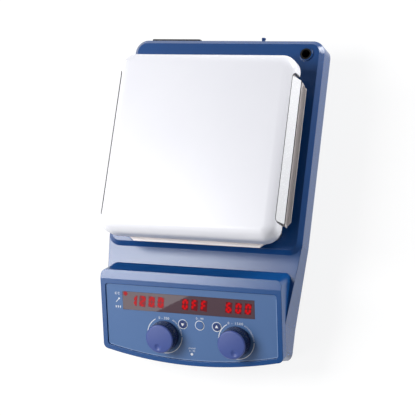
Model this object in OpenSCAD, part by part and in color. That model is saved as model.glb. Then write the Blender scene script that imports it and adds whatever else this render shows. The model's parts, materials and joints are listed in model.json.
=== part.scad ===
// Hotplate magnetic stirrer: a square white plate over a blue cast housing,
// a sloped console with two knobs and three push buttons, and a motor that
// turns a bar of magnets under the plate. Millimetres, +Z up, the console
// faces -Y. The origin is on the bench, under the middle of the whole part.

/* [Housing] */
// Width of the housing
housing_width = 205; // [190:1:220]
// Height of the deck under the plate
deck_height = 60.5; // [56:0.5:66]
// Height and width of the bevel around the deck
deck_bevel = 4.5; // [3:0.1:5]
// Corner radius of the deck
deck_corner = 13; // [10:0.5:16]
// How far the deck reaches behind the plate
deck_behind = 30.5; // [26:0.5:40]
// How far the deck reaches in front of the plate
deck_before = 3; // [2:0.5:6]
// Wall thickness of the housing
wall = 3; // [2.5:0.1:3.5]
// Height of the lower edge of the upright side walls, as a share of the deck's
band_share = 0.595; // [0.5:0.005:0.65]
// How far the foot of the housing stands in from its sides
foot_inset = 16.5; // [14:0.5:18]
// How far the housing narrows under the console, at each side
nose_inset = 8; // [7:0.5:10]
// Distance from the front of the deck to the front of the housing
nose_reach = 106; // [103:0.5:110]
// Radius of the curved front
nose_curve = 390; // [300:5:600]
// Corner radius at the front
nose_corner = 6; // [4:0.5:8]
// Length of the part of the side that narrows towards the front
narrowing = 77; // [60:1:80]
// Radius of the support rod's hole, for an M10 thread
rod_hole = 4.25; // [3.3:0.05:5.1]
// Depth of the support rod's hole
rod_depth = 20; // [14:0.5:22]
// Radius of the raised ring around the support rod's hole
rod_ring = 7; // [6.5:0.1:9]
// Distance of the support rod from the housing's side
rod_from_side = 17.5; // [15:0.5:22]
// Distance of the support rod from the housing's rear
rod_from_rear = 15; // [13:0.5:18]

/* [Top plate] */
// How much the plate is narrower than the housing, at each side
plate_inset = 10.5; // [8:0.5:14]
// Height of the top of the plate above the bench
plate_top = 112; // [108:0.5:125]
// Corner radius of the plate in plan
plate_corner = 15; // [13:0.5:20]
// Radius of the rolled edge
plate_roll = 11.2; // [9.5:0.1:12.8]
// Depth of the plate from its top to the foot of its skirt
plate_depth = 21.2; // [18:0.1:23]
// Thickness of the top
plate_thick = 4; // [3:0.1:5]
// Thickness of the skirt
skirt_wall = 2.2; // [1.5:0.1:3]
// How much shorter the notch in a side skirt is than the plate
notch_ends = 36; // [34:1:60]
// Depth of the upper edge of the notch below the top
notch_drop = 4.5; // [4.2:0.1:6]
// Corner radius of the notch
notch_round = 5; // [2:0.5:8]
// Gap between a carrier flap and the edge of its notch
flap_gap = 1.3; // [0.8:0.1:2]
// Depth of a flap's foot, as a share of the height above the heat shield
flap_share = 0.8; // [0.75:0.01:0.85]
// How far a flap leans out towards its foot
flap_lean = 3.7; // [2:0.1:5]

/* [Under the plate] */
// How much narrower the heater plate is than the top plate
heater_less = 44; // [42:1:60]
// Thickness of the heater plate
heater_thick = 4; // [3:0.1:5]
// How much narrower the insulating pad is than the top plate
pad_less = 34; // [32:1:50]
// Thickness of the insulating pad
pad_thick = 8.8; // [6:0.1:10]
// Thickness of the carrier sheet and its flaps
carrier_sheet = 1.2; // [0.8:0.1:1.6]
// Height of the heat shield, as a share of the room between deck and pad
shield_share = 0.612; // [0.56:0.002:0.64]
// Depth of the walls of the heat shield
shield_depth = 6.5; // [4:0.1:8]
// How much narrower the heat shield is than the plate, across
shield_less_x = 1.6; // [1:0.1:6]
// How much shorter the heat shield is than the plate, front to rear
shield_less_y = 5; // [4:0.1:9]
// Width of the flange along each wall
shield_flange = 3.4; // [2:0.1:5]
// How much shorter each wall and flange is than the plate
tab_less = 40; // [38:1:60]
// How far the ends of a flange are cut back
tab_cut = 5.5; // [2:0.1:8]
// Sheet of the heat shield
shield_sheet = 1; // [0.8:0.1:1.2]
// Gap around the turning magnets in the heat shield
shield_gap = 10; // [6:0.5:14]
// Distance of the standoffs from the edges of the plate
standoff_inset = 16; // [14:0.5:20]
// Radius of a standoff below the heat shield
standoff_radius = 6; // [5.4:0.1:7]

/* [Console] */
// Tilt of the control panel
tilt = 25.75; // [22:0.25:30]
// Distance from the front of the housing to the line of the knobs
panel_setback = 19.35; // [18.5:0.05:20]
// Drop of the panel below the deck, at the line of the knobs
panel_drop = 5.1; // [3:0.1:6]
// Length of the panel side above the line of the knobs
console_up = 54; // [52:0.5:56]
// Length of the top bevel behind the panel
crest_long = 8.8; // [7:0.1:10]
// Drop of the top bevel below the rim
crest_drop = 2.8; // [1:0.1:5]
// Length of the chin below the line of the knobs, at its middle
console_chin = 28.8; // [27:0.1:30]
// Corner radius of the console
console_corner = 5.5; // [4:0.5:8]
// Height of the rim above the overlay
rim_height = 1; // [0.5:0.1:1.5]
// Width of the rim at the sides
rim_width = 4.9; // [4:0.1:6]
// Wall thickness of the console
console_wall = 2.5; // [2:0.1:3]
// Depth of the console's lower edge below the overlay
console_deep = 8.8; // [8:0.1:9.6]
// Thickness of the overlay and the window
overlay_thick = 0.8; // [0.5:0.1:1]

/* [Controls] */
// Place of the knobs and buttons beside the middle, as a share of half the console
controls_share = 0.1005; // [0:0.0005:0.12]
// Half distance between the two knobs, as a share of half the console
spread_share = 0.397; // [0.38:0.001:0.41]
// Distance between the buttons, as a share of half the console
pitch_share = 0.1884; // [0.16:0.0002:0.2]
// Radius of a knob
knob_radius = 14.3; // [13:0.1:15]
// Height of a knob's face above the overlay
knob_height = 14.2; // [13:0.1:17]
// Radius of the finger dimple in a knob
dimple_radius = 3.4; // [2.5:0.1:4]
// Distance of the dimple from the knob's axis
dimple_place = 8.4; // [7:0.1:9]
// Radius of a knob shaft
shaft_radius = 3; // [2.5:0.05:3.1]
// Distance of the buttons above the line of the knobs
button_up_place = 12.9; // [12:0.1:15]
// Radius of a button cap
button_radius = 4.1; // [3.5:0.1:4.5]
// Travel of a button
button_travel = 0.5; // [0.3:0.05:0.6]
// Width of the display window, as a share of the console's
window_share = 0.7328; // [0.7:0.0002:0.75]
// Height of the display window
window_height = 18.4; // [17:0.1:20]
// Middle of the window, to the left of the middle
window_shift = 2.4; // [0:0.1:3]
// Distance of the window's middle above the line of the knobs
window_up = 32.6; // [31:0.1:34]
// Distance of the indicator below the line of the knobs
indicator_down = 17.2; // [16.5:0.1:19]
// Radius of the indicator
indicator_radius = 1.3; // [1:0.1:1.8]

/* [Drive] */
// Radius of the motor can
can_radius = 38; // [36:0.5:42]
// Gap between the motor can and the base
can_clear = 5; // [4:0.5:7]
// Radius of the motor shaft
motor_shaft = 4; // [3.5:0.1:4.5]
// Length of the magnet yoke
yoke_length = 84; // [70:1:90]
// Radius of a magnet
magnet_radius = 9; // [7:0.5:11]
// Height of a magnet, as a share of the room above the heat shield
magnet_share = 0.615; // [0.4:0.005:0.7]

/* [Base] */
// Height of the rubber feet
foot_height = 8; // [7:0.5:10]
// Radius of a rubber foot
foot_radius = 10; // [8:0.5:13]
// Sheet of the base pan
base_sheet = 2; // [1.5:0.1:2.5]

/* [Rear panel] */
// Middle of the mains inlet beside the middle, as a share of the width
inlet_share = 0.293; // [0.28:0.001:0.3]
// Width of the mains inlet's flange, as a share of the width
flange_share = 0.2634; // [0.25:0.0002:0.28]
// Place of the probe socket, to the right of the middle
probe_x = 34.5; // [25:0.5:45]
// Length of the cable peg
peg_length = 5; // [4.5:0.1:7]

/* [Hidden] */
$fn = 64;
over = 1;
// running clearance of a shaft and the sliding clearance of a cap
run_gap = 0.04;
slide_gap = 0.2;
// gap around a piece that stands in an opening of a still neighbour
rest_gap = 0.3;

// plan sizes that follow from the housing's width
housing_half = housing_width/2;
plate_side = housing_width - 2*plate_inset;
plate_half = plate_side/2;
deck_rear = plate_half + deck_behind;
deck_front = plate_half + deck_before;
nose_half = housing_half - nose_inset;
nose_front = deck_front + nose_reach;
foot_half = housing_half - foot_inset;
panel_y = nose_front - panel_setback;
console_half = nose_half;
heater_side = plate_side - heater_less;
pad_side = plate_side - pad_less;
notch_length = plate_side - notch_ends;
tab_length = plate_side - tab_less;
shield_width = plate_side - shield_less_x;
shield_length = plate_side - shield_less_y;
standoff_place = plate_half - standoff_inset;
rod_x = housing_half - rod_from_side;
rod_y = deck_rear - rod_from_rear;

// heights that stack from the bench
body_foot = foot_height + base_sheet;
floor_top = deck_height - deck_bevel;
panel_z = deck_height - panel_drop;
band_low = band_share*deck_height;
rear_low = deck_height/3;
nose_low = 0.36*deck_height;
carrier_top = plate_top - plate_thick - heater_thick;
carrier_low = carrier_top - carrier_sheet;
pad_low = carrier_low - pad_thick;
shield_top = deck_height + shield_share*(pad_low - deck_height);
notch_top = plate_top - notch_drop;
skirt_low = plate_top - plate_depth;

// plate, carrier and heater
inner_half = plate_half - skirt_wall;
inner_roll = plate_roll - skirt_wall - plate_thick/10;
heater_corner = 14;
pad_corner = 20;
pan_boss = 4.5;
pan_boss_x = heater_side/2 + 2.25*pan_boss;
pan_boss_y = 0.32*heater_side;
screw_m4 = 2;
head_m4 = 3.5;
head_m4_high = 2.4;
screw_m3 = 1.5;
head_m3 = 2.8;
head_m3_high = 2;
flap_top = notch_top - flap_gap;
flap_low = plate_top - flap_share*(plate_top - shield_top);
flap_high = flap_top - flap_low;
flap_in = inner_half - flap_gap - carrier_sheet/2;
flap_length = notch_length - 4*flap_gap;
carrier_reach = inner_half - 2*flap_gap - carrier_sheet;
sensor_radius = 2;
sensor_x = 30;
sensor_tail = 1;

// heat shield and standoffs
shield_opening = yoke_length/2 + shield_gap;
standoff_neck = standoff_radius - 0.75*screw_m4;
neck_top = carrier_low;

// housing
rear_lean = 6;
nose_lean = 12;
nose_centre = nose_curve - nose_front;
// how far a corner's circle reaches past the curved front it runs into
corner_bite = 0.05;
shoulder = 10;
ring_rise = 1.5;
rod_boss = 10.6;
column = 5;
column_x = standoff_place;
column_y = standoff_place - 2.8*column;
column_rows = [column_y, -column_y];
column_from_front = 31;
front_column_y = column_from_front - nose_front;
front_column_high = 22;
rib = 3;
post = 4.5;
post_out = 6;
post_in = 4;
post_x = can_radius + post_out;
post_y = can_radius - post_in;
shaft_opening = 9;

// console
console_crest = console_up + crest_long;
panel_back = -overlay_thick - console_wall;
chin_curve = nose_curve;
inner_panel_half = console_half - rim_width;
inner_panel_up = console_up - rim_width;
inner_panel_down = console_chin - rim_width;
inlay_gap = 0.4;
board_sheet = 1.6;
encoder_deep = 7;
board_top = panel_back - encoder_deep;
board_low = board_top - board_sheet;
pocket_half = console_half - 3*console_wall;
board_half = pocket_half - wall;
pocket_margin = 4;
board_margin = 5;
pocket_up = console_up - pocket_margin;
board_up = pocket_up - board_margin;
board_down = 12;
pocket_down = board_down + wall/2;
rear_screw_x = 0.635*console_half;
rear_screw_back = 62.15;
rear_screw_y = rear_screw_back - panel_y;
front_screw_x = 0.444*console_half;
front_screw_down = 17.5;
console_boss = 3.6;

// controls
controls_x = controls_share*console_half;
knob_spread = spread_share*console_half;
button_pitch = pitch_share*console_half;
window_width = 2*window_share*console_half;
bush_radius = 3.8;
bush_top = 2.6;
nut_flats = 11;
nut_high = 2.2;
knob_low = 0.8;
knob_wall = 3;
knob_deep = 4.4;
knob_edge = 0.8;
shaft_end = 11.4;
encoder_side = 12.6;
encoder_round = 1;
encoder_floor = 1;
shaft_seat = 1.5;
cap_top = 0.7;
cap_flange = 0.9;
stem_radius = 1.7;
switch_side = 6;
switch_high = 4.3;
dimple_deep = 0.9;
lens_low = panel_back - 1.6*overlay_thick;
heat_dimple = 257;
speed_dimple = 289;
window_ledge = 1.5;
window_gap = 0.15;
led_height = 16;
led_widths = [0.282*window_width, 0.213*window_width, 0.213*window_width];
led_places = [-0.318*window_width, 0.032*window_width, 0.3625*window_width];
board_post = 2.6;
board_post_in = 4;
board_post_drop = 7;
board_post_x = board_half - board_post_in;
board_post_up = board_up - board_post_drop;

// drive
can_wall = 1.6;
post_drop = 0.1405*deck_height;
bracket_sheet = 2;
bracket_low = deck_height - wall - post_drop - bracket_sheet;
can_low = body_foot + can_clear;
can_height = bracket_low - can_low;
bracket_x = 2*post_x + 4*post;
bracket_y = 2*post_y + 4*post;
bearing_radius = 11;
bearing_high = 0.1157*deck_height;
seat_wall = 2.4;
seat_gap = 0.05;
core_room = can_height - can_wall - 2*bearing_high;
stator_inner = 24.5;
stator_high = 0.85*core_room;
rotor_radius = 23.7;
rotor_high = 0.73*core_room;
yoke_sheet = 4;
shaft_top = shield_top - yoke_sheet;
yoke_width = 22;
hub_radius = 8;
hub_high = 7;
magnet_high = magnet_share*(pad_low - shield_top);
magnet_place = yoke_length/2 - 10/9*magnet_radius;

// power board
pillar = 4;
pillar_high = 6;
board_x = 1.27*nose_half;
board_y = 76;
board_before = 13;
board_mid_y = -deck_front - board_before;
board_room = floor_top - wall - body_foot - pillar_high - board_sheet;
coil_box = [0.367*board_x, 36, 0.735*board_room];
coil_x = -0.283*board_x;
relay_box = [0.15*board_x, 16, 0.4*board_room];
sink_box = [0.25*board_x, 12, 0.68*board_room];
cap_radius = 0.05*board_x;
cap_places = [0.3*board_x, 0.42*board_x];
cap_high = 0.62*board_room;

// base
base_gap = 0.5;
foot_x = foot_half - 2*foot_radius;
foot_from_rear = 30.5;
foot_from_front = 41;
foot_rows = [deck_rear - foot_from_rear, foot_from_front - nose_front];
foot_dish = 4.5;
slot_width = 3;
slot_length = 44;
slot_count = 9;

// rear panel
inlet_left = inlet_share*housing_width;
inlet_margin = 2.4;
inlet_z = (floor_top + rear_low)/2;
flange_width = flange_share*housing_width;
flange_height = floor_top - rear_low - 2*inlet_margin;
flange_thick = 2.5;
flange_corner = 2;
socket_left = 0.204*flange_width;
socket_width = 0.452*flange_width;
socket_height = 0.535*flange_height;
socket_deep = 16;
socket_wall = 1.6;
socket_up = 0.148*flange_height;
socket_chamfer = 0.083*flange_width;
pin_width = 2;
pin_height = 4;
pin_length = 12;
pin_root = 2;
pin_pitch = 0.13*flange_width;
earth_rise = 0.065*flange_height;
drawer_width = 0.426*flange_width;
drawer_height = 0.226*flange_height;
drawer_deep = 22;
drawer_down = 0.297*flange_height;
drawer_face = 1.2;
fuse_radius = 0.357*drawer_height;
fuse_length = 0.78*drawer_width;
rocker_right = 0.315*flange_width;
rocker_width = 0.233*flange_width;
rocker_height = 0.632*flange_height;
rocker_deep = 9;
rocker_tilt = 7;
rocker_gap = 0.4;
pivot_radius = 1.5;
pivot_out = 2*rocker_gap + rest_gap;
inlet_body_deep = 26;
probe_radius = 7;
probe_flange = 9;
probe_rim = 2;
probe_deep = 12;
probe_pin = 0.6;
probe_ring = 3.6;
probe_drop = 4.5;
probe_z = inlet_z - probe_drop;
peg_radius = 1.8;
peg_head = 2.1;
peg_head_long = 1.4;
peg_drop = 6;
peg_z = floor_top - peg_drop;

// the whole part is moved so that its middle is on the origin
front_reach = panel_y + console_chin*cos(tilt) + rim_height*sin(tilt);
rear_reach = deck_rear + peg_length;
plate_y = (front_reach - rear_reach)/2;

blue = [0.13, 0.27, 0.46];
panel_blue = [0.25, 0.41, 0.64];
knob_blue = [0.25, 0.28, 0.58];
white = [0.94, 0.94, 0.97];
steel = [0.62, 0.60, 0.60];
black = [0.07, 0.07, 0.08];
brass = [0.72, 0.58, 0.30];
green = [0.05, 0.30, 0.15];

// node to draw, or "all" for the whole part

// places
module at_plate() {
  translate([0, plate_y, 0]) children();
}

module on_panel() {
  translate([0, plate_y - panel_y, panel_z])
    rotate([tilt, 0, 0]) children();
}

module at_rear(x, z) {
  translate([x, plate_y + deck_rear, z])
    rotate([-90, 0, 0]) children();
}

// plain shapes
module tube(outer, inner, high) {
  difference() {
    cylinder(r = outer, h = high);
    translate([0, 0, -over]) cylinder(r = inner, h = high + 2*over);
  }
}

module box(size) {
  translate([-size[0]/2, -size[1]/2, 0]) cube(size);
}

module rounded_square(wide, long, round) {
  square([wide - 2*round, long], center = true);
  square([wide, long - 2*round], center = true);
  for (x = [-1, 1], y = [-1, 1])
    translate([x*(wide/2 - round), y*(long/2 - round)]) circle(r = round);
}

module screw(shank, head, head_high, long) {
  translate([0, 0, -head_high])
    difference() {
      cylinder(r = head, h = head_high);
      translate([0, 0, -over])
        cylinder(r = shank*0.7, h = over + head_high*0.55);
    }
  cylinder(r = shank, h = long);
}

module four(x, y) {
  for (sx = [-1, 1], sy = [-1, 1])
    translate([sx*x, sy*y, 0]) children();
}

// top plate
// half of a section with a rolled edge, its top at 0
module roll_section(reach, roll, deep) {
  translate([0, -deep]) square([reach - roll, deep]);
  translate([0, -deep]) square([reach, deep - roll]);
  intersection() {
    translate([reach - roll, -roll]) circle(r = roll);
    translate([reach - roll, -roll]) square([roll, roll]);
  }
}

module roll_run(half, roll, deep, long) {
  for (side = [0, 1])
    mirror([side, 0, 0])
      rotate([90, 0, 0])
        linear_extrude(long, center = true)
          roll_section(half, roll, deep);
}

module rolled_block(half, corner, roll, deep) {
  long = 2*(half - corner);
  roll_run(half, roll, deep, long);
  rotate([0, 0, 90]) roll_run(half, roll, deep, long);
  for (turn = [0:3])
    rotate([0, 0, 90*turn])
      translate([half - corner, half - corner, 0])
        rotate_extrude(angle = 90) roll_section(corner, roll, deep);
}

module notch_shape(long, round, low, top) {
  translate([-long/2, low]) square([long, top - low - round]);
  translate([-long/2 + round, low]) square([long - 2*round, top - low]);
  for (x = [-1, 1])
    translate([x*(long/2 - round), top - round]) circle(r = round);
}

module plate_pan() {
  color(white)
  at_plate()
  difference() {
    union() {
      difference() {
        translate([0, 0, plate_top])
          rolled_block(plate_half, plate_corner, plate_roll, plate_depth);
        translate([0, 0, plate_top - plate_thick])
          rolled_block(inner_half, plate_corner - skirt_wall, inner_roll,
                       plate_depth - plate_thick + over);
      }
      four(pan_boss_x, pan_boss_y)
        translate([0, 0, carrier_top])
          cylinder(r = pan_boss, h = heater_thick + plate_thick/2);
    }
    for (side = [0, 1])
      mirror([side, 0, 0])
        translate([pan_boss_x + pan_boss + over, 0, 0])
          rotate([90, 0, 90])
            linear_extrude(plate_half - pan_boss_x)
              notch_shape(notch_length, notch_round, skirt_low - over,
                          notch_top);
    four(pan_boss_x, pan_boss_y)
      translate([0, 0, carrier_top - over])
        cylinder(r = screw_m3, h = heater_thick + over);
  }
}

// a leaning flap beside the notch, seen from the end of the plate
module flap_section() {
  polygon([[flap_in, flap_top], [flap_in + carrier_sheet, flap_top],
           [flap_in + carrier_sheet + flap_lean, flap_low],
           [flap_in + flap_lean, flap_low]]);
}

module plate_carrier() {
  web_lean = flap_lean*(flap_top - carrier_low)/flap_high;
  color(white)
  at_plate()
  difference() {
    union() {
      translate([0, 0, carrier_low])
        linear_extrude(carrier_sheet)
          rounded_square(2*carrier_reach, 2*carrier_reach,
                         plate_corner - skirt_wall);
      for (side = [0, 1])
        mirror([side, 0, 0]) {
          translate([carrier_reach - over, -flap_length/2, carrier_low])
            cube([flap_in + web_lean - carrier_reach + over
                  + carrier_sheet/2, flap_length, carrier_sheet]);
          intersection() {
            rotate([90, 0, 0])
              linear_extrude(flap_length + over, center = true)
                flap_section();
            translate([carrier_reach, 0, 0])
              rotate([90, 0, 90])
                linear_extrude(2*flap_lean + 2*flap_gap + 2*carrier_sheet)
                  rounded_flap();
          }
        }
    }
    four(pan_boss_x, pan_boss_y)
      translate([0, 0, carrier_low - over])
        cylinder(r = screw_m3 + rest_gap/2, h = carrier_sheet + 2*over);
    four(standoff_place, standoff_place)
      translate([0, 0, carrier_low - over])
        cylinder(r = screw_m4 + rest_gap/2, h = carrier_sheet + 2*over);
    translate([sensor_x, 0, carrier_low - over])
      cylinder(r = sensor_radius + rest_gap, h = carrier_sheet + 2*over);
  }
}

module rounded_flap() {
  round = notch_round - flap_gap;
  notch_shape(flap_length, round, flap_low, flap_top);
}

module carrier_screws() {
  color(steel)
  at_plate() {
    four(pan_boss_x, pan_boss_y)
      translate([0, 0, carrier_low])
        screw(screw_m3 - run_gap, head_m3, head_m3_high,
              carrier_sheet + heater_thick*0.8);
    four(standoff_place, standoff_place)
      translate([0, 0, carrier_top])
        mirror([0, 0, 1])
          screw(screw_m4 - run_gap, head_m4, head_m4_high,
                carrier_sheet + 3*head_m4_high);
  }
}

module heater_plate() {
  color(steel)
  at_plate()
  translate([0, 0, carrier_top])
    linear_extrude(heater_thick)
      rounded_square(heater_side, heater_side, heater_corner);
}

module insulation_pad() {
  color([0.85, 0.83, 0.76])
  at_plate()
  difference() {
    translate([0, 0, pad_low])
      linear_extrude(pad_thick)
        rounded_square(pad_side, pad_side, pad_corner);
    translate([sensor_x, 0, pad_low - over])
      cylinder(r = sensor_radius + rest_gap, h = pad_thick + 2*over);
  }
}

module temperature_sensor() {
  color(steel)
  at_plate()
  translate([sensor_x, 0, pad_low - sensor_tail])
    cylinder(r = sensor_radius,
             h = sensor_tail + pad_thick + carrier_sheet);
}

// heat shield
module flange_shape(long, cut, wide) {
  polygon([[-long/2, 0], [long/2, 0], [long/2 - cut, wide],
           [-long/2 + cut, wide]]);
}

module shield_side(half) {
  translate([-tab_length/2, half - shield_sheet,
             shield_top - shield_depth])
    cube([tab_length, shield_sheet, shield_depth]);
  translate([0, half - shield_sheet, shield_top - shield_depth])
    linear_extrude(shield_sheet)
      flange_shape(tab_length, tab_cut, shield_flange + shield_sheet);
}

module heat_shield() {
  inset = (shield_width - tab_length)/2;
  color(steel)
  at_plate()
  difference() {
    union() {
      translate([0, 0, shield_top - shield_sheet])
        linear_extrude(shield_sheet) {
          square([shield_width, tab_length], center = true);
          square([tab_length, shield_length], center = true);
          rounded_square(shield_width - inset/2, shield_length - inset/2,
                         plate_corner);
        }
      for (side = [0, 1])
        mirror([0, side, 0]) shield_side(shield_length/2);
      for (turn = [90, -90])
        rotate([0, 0, turn]) shield_side(shield_width/2);
    }
    translate([0, 0, shield_top - shield_sheet - over])
      cylinder(r = shield_opening, h = shield_sheet + 2*over);
    four(standoff_place, standoff_place)
      translate([0, 0, shield_top - shield_sheet - over])
        cylinder(r = standoff_neck + rest_gap, h = shield_sheet + 2*over);
  }
}

module standoffs() {
  low = shield_top - shield_sheet;
  color(steel)
  at_plate()
  four(standoff_place, standoff_place)
    difference() {
      union() {
        translate([0, 0, deck_height])
          cylinder(r = standoff_radius, h = low - deck_height);
        translate([0, 0, deck_height])
          cylinder(r = standoff_neck, h = neck_top - deck_height);
      }
      translate([0, 0, deck_height - over])
        cylinder(r = screw_m4, h = 5*head_m4_high + over);
      translate([0, 0, neck_top - 3*head_m4_high])
        cylinder(r = screw_m4, h = 3*head_m4_high + over);
    }
}

module standoff_screws() {
  color(steel)
  at_plate()
  four(standoff_place, standoff_place)
    translate([0, 0, deck_height - wall])
      screw(screw_m4 - run_gap, head_m4, head_m4_high,
            wall + 4*head_m4_high);
}

// housing
// plan of the housing, drawn in by the same amount all around
module plan(inset) {
  half = housing_width/2 - inset;
  nose = nose_half - inset;
  rear = deck_rear - inset;
  round = deck_corner - inset;
  step = deck_front - shoulder;
  narrow = step + narrowing;
  corner_x = nose_half - nose_corner;
  inner_curve = nose_curve - nose_corner + corner_bite;
  corner_y = nose_centre
             - sqrt(inner_curve*inner_curve - corner_x*corner_x);
  touch = corner_x*(nose_curve - inset)/inner_curve;
  translate([-half, -step]) square([2*half, step + rear - round]);
  translate([-half + round, -step]) square([2*(half - round), step + rear]);
  for (x = [-1, 1])
    translate([x*(half - round), rear - round]) circle(r = round);
  polygon([[-half, -step], [half, -step], [nose, -narrow], [nose, corner_y],
           [-nose, corner_y], [-nose, -narrow]]);
  intersection() {
    translate([0, nose_centre]) circle(r = nose_curve - inset, $fn = 360);
    translate([-touch, -nose_front])
      square([2*touch, corner_y + nose_front + over]);
  }
  for (x = [-1, 1])
    translate([x*corner_x, corner_y]) circle(r = nose_corner - inset);
}

// side view of the housing: the deck line, the slope under the console
module side_view(inset, foot) {
  top = floor_top - inset;
  deep = console_deep + inset;
  bend = panel_y - console_deep*sin(tilt)
         - (floor_top - panel_z + console_deep*cos(tilt))/tan(tilt);
  bend_in = panel_y - deep*sin(tilt)
            - (top - panel_z + deep*cos(tilt))/tan(tilt);
  fall = (nose_front - bend_in + over)*tan(tilt);
  polygon([[deck_rear - rear_lean - inset, foot],
           [deck_rear - inset, rear_low],
           [deck_rear - inset, top],
           [-bend_in, top],
           [-nose_front - over, top - fall],
           [-nose_front + inset, nose_low],
           [-nose_front + nose_lean + inset, foot]]);
}

// front view of the housing: upright sides that lean in below
module front_view(inset, foot) {
  half = housing_width/2 - inset;
  top = floor_top - inset;
  lean = (half - foot_half + inset)/(band_low - body_foot);
  low = half - lean*(band_low - foot);
  polygon([[-half, top], [half, top], [half, band_low], [low, foot],
           [-low, foot], [-half, band_low]]);
}

module body(inset, foot) {
  intersection() {
    linear_extrude(floor_top + over) plan(inset);
    rotate([90, 0, 90])
      linear_extrude(housing_width + over, center = true)
        side_view(inset, foot);
    rotate([90, 0, 0])
      linear_extrude(3*nose_front, center = true)
        front_view(inset, foot);
  }
}

// the raised deck, with a bevel all around
module deck() {
  half = housing_width/2;
  long = deck_rear + deck_front;
  middle = (deck_rear - deck_front)/2;
  translate([0, middle, floor_top]) {
    four(half - deck_corner, long/2 - deck_corner)
      cylinder(r1 = deck_corner, r2 = deck_corner - deck_bevel,
               h = deck_bevel);
    rotate([90, 0, 0])
      linear_extrude(long - 2*deck_corner, center = true)
        polygon([[-half, 0], [half, 0], [half - deck_bevel, deck_bevel],
                 [-half + deck_bevel, deck_bevel]]);
    rotate([90, 0, 90])
      linear_extrude(housing_width - 2*deck_corner, center = true)
        polygon([[-long/2, 0], [long/2, 0],
                 [long/2 - deck_bevel, deck_bevel],
                 [-long/2 + deck_bevel, deck_bevel]]);
  }
}

module columns(radius, low, top) {
  for (x = [-1, 1], y = column_rows)
    translate([x*column_x, y, low]) cylinder(r = radius, h = top - low);
}

module front_columns(radius, low, top) {
  for (x = [-1, 1])
    translate([x*column_x, front_column_y, low])
      cylinder(r = radius, h = top - low);
}

// ribs that tie the two front columns to the side walls
module front_ribs() {
  intersection() {
    body(wall/2, body_foot);
    for (side = [0, 1])
      mirror([side, 0, 0])
        translate([column_x, front_column_y - rib/2, body_foot])
          cube([housing_width/2 - column_x, rib, front_column_high]);
  }
}

module housing() {
  deck_low = deck_height - wall;
  inner_x = housing_width - 2*wall - 2*deck_bevel;
  inner_front = deck_front - deck_bevel - wall;
  inner_rear = deck_rear - deck_bevel - wall;
  color(blue)
  at_plate()
  difference() {
    union() {
      difference() {
        union() {
          body(0, body_foot);
          deck();
          translate([rod_x, rod_y, deck_height - over])
            cylinder(r = rod_ring, h = ring_rise + over);
        }
        body(wall, body_foot - over);
        translate([-inner_x/2, -inner_front, floor_top - wall - over])
          cube([inner_x, inner_front + inner_rear,
                deck_low - floor_top + wall + over]);
        // opening under the console for the control board
        translate([0, -panel_y, panel_z])
          rotate([tilt, 0, 0])
            translate([-pocket_half, -pocket_down, -console_deep - 2*wall])
              cube([2*pocket_half, pocket_down + pocket_up,
                    console_deep + 2*wall]);
      }
      translate([rod_x, rod_y, deck_height + ring_rise - rod_depth - wall])
        cylinder(r = rod_boss, h = rod_depth);
      columns(column, body_foot, deck_low + wall/2);
      front_columns(column, body_foot, body_foot + front_column_high);
      front_ribs();
      four(post_x, post_y)
        translate([0, 0, deck_low - post_drop])
          cylinder(r = post, h = post_drop + wall/2);
    }
    translate([rod_x, rod_y, deck_height + ring_rise - rod_depth])
      cylinder(r = rod_hole, h = rod_depth + over);
    columns(screw_m4, body_foot - over, body_foot + 6*head_m4_high);
    front_columns(screw_m4, body_foot - over, body_foot + 5*head_m4_high);
    four(post_x, post_y)
      translate([0, 0, deck_low - post_drop - over])
        cylinder(r = screw_m3, h = post_drop + over);
    translate([0, 0, floor_top])
      cylinder(r = shaft_opening, h = deck_bevel + over);
    four(standoff_place, standoff_place)
      translate([0, 0, floor_top])
        cylinder(r = screw_m4 + rest_gap/2, h = deck_bevel + over);
    console_screw_holes(screw_m3 + rest_gap/2);
    // openings of the rear wall
    translate([-inlet_left - flange_width/2 + socket_wall,
               deck_rear - 2*wall, inlet_z - flange_height/2 + socket_wall])
      cube([flange_width - 2*socket_wall, 3*wall,
            flange_height - 2*socket_wall]);
    translate([probe_x, deck_rear - 2*wall, probe_z])
      rotate([-90, 0, 0]) cylinder(r = probe_radius + rest_gap, h = 3*wall);
  }
}

// base
module base_pan() {
  low_half = foot_half - base_gap;
  color(black)
  at_plate()
  difference() {
    translate([0, 0, foot_height])
      linear_extrude(base_sheet)
        intersection() {
          plan(base_gap);
          translate([-low_half, -nose_front + nose_lean])
            square([2*low_half, nose_front - nose_lean + deck_rear
                    - rear_lean - base_gap]);
        }
    columns(screw_m4 + rest_gap/2, foot_height - over, body_foot + over);
    front_columns(screw_m4 + rest_gap/2, foot_height - over,
                  body_foot + over);
    for (x = [-1, 1], y = foot_rows)
      translate([x*foot_x, y, foot_height - over])
        cylinder(r = screw_m3, h = base_sheet + 2*over);
    for (i = [0:slot_count - 1])
      translate([(i - (slot_count - 1)/2)*3*slot_width - slot_width/2,
                 -slot_length/2, foot_height - over])
        cube([slot_width, slot_length, base_sheet + 2*over]);
  }
}

module rubber_feet() {
  color(black)
  at_plate()
  for (x = [-1, 1], y = foot_rows)
    translate([x*foot_x, y, 0])
      difference() {
        union() {
          cylinder(r1 = foot_radius - foot_height/8, r2 = foot_radius,
                   h = foot_height/2);
          translate([0, 0, foot_height/2])
            cylinder(r = foot_radius, h = foot_height/2);
        }
        translate([0, 0, -over])
          cylinder(r = foot_dish, h = foot_height/2 + over);
        cylinder(r = screw_m3 + rest_gap/2, h = foot_height + over);
      }
}

module foot_screws() {
  color(steel)
  at_plate()
  for (x = [-1, 1], y = foot_rows)
    translate([x*foot_x, y, foot_height/2])
      screw(screw_m3 - run_gap, head_m3, head_m3_high,
            foot_height/2 + base_sheet + 0.4*foot_height);
}

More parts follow.
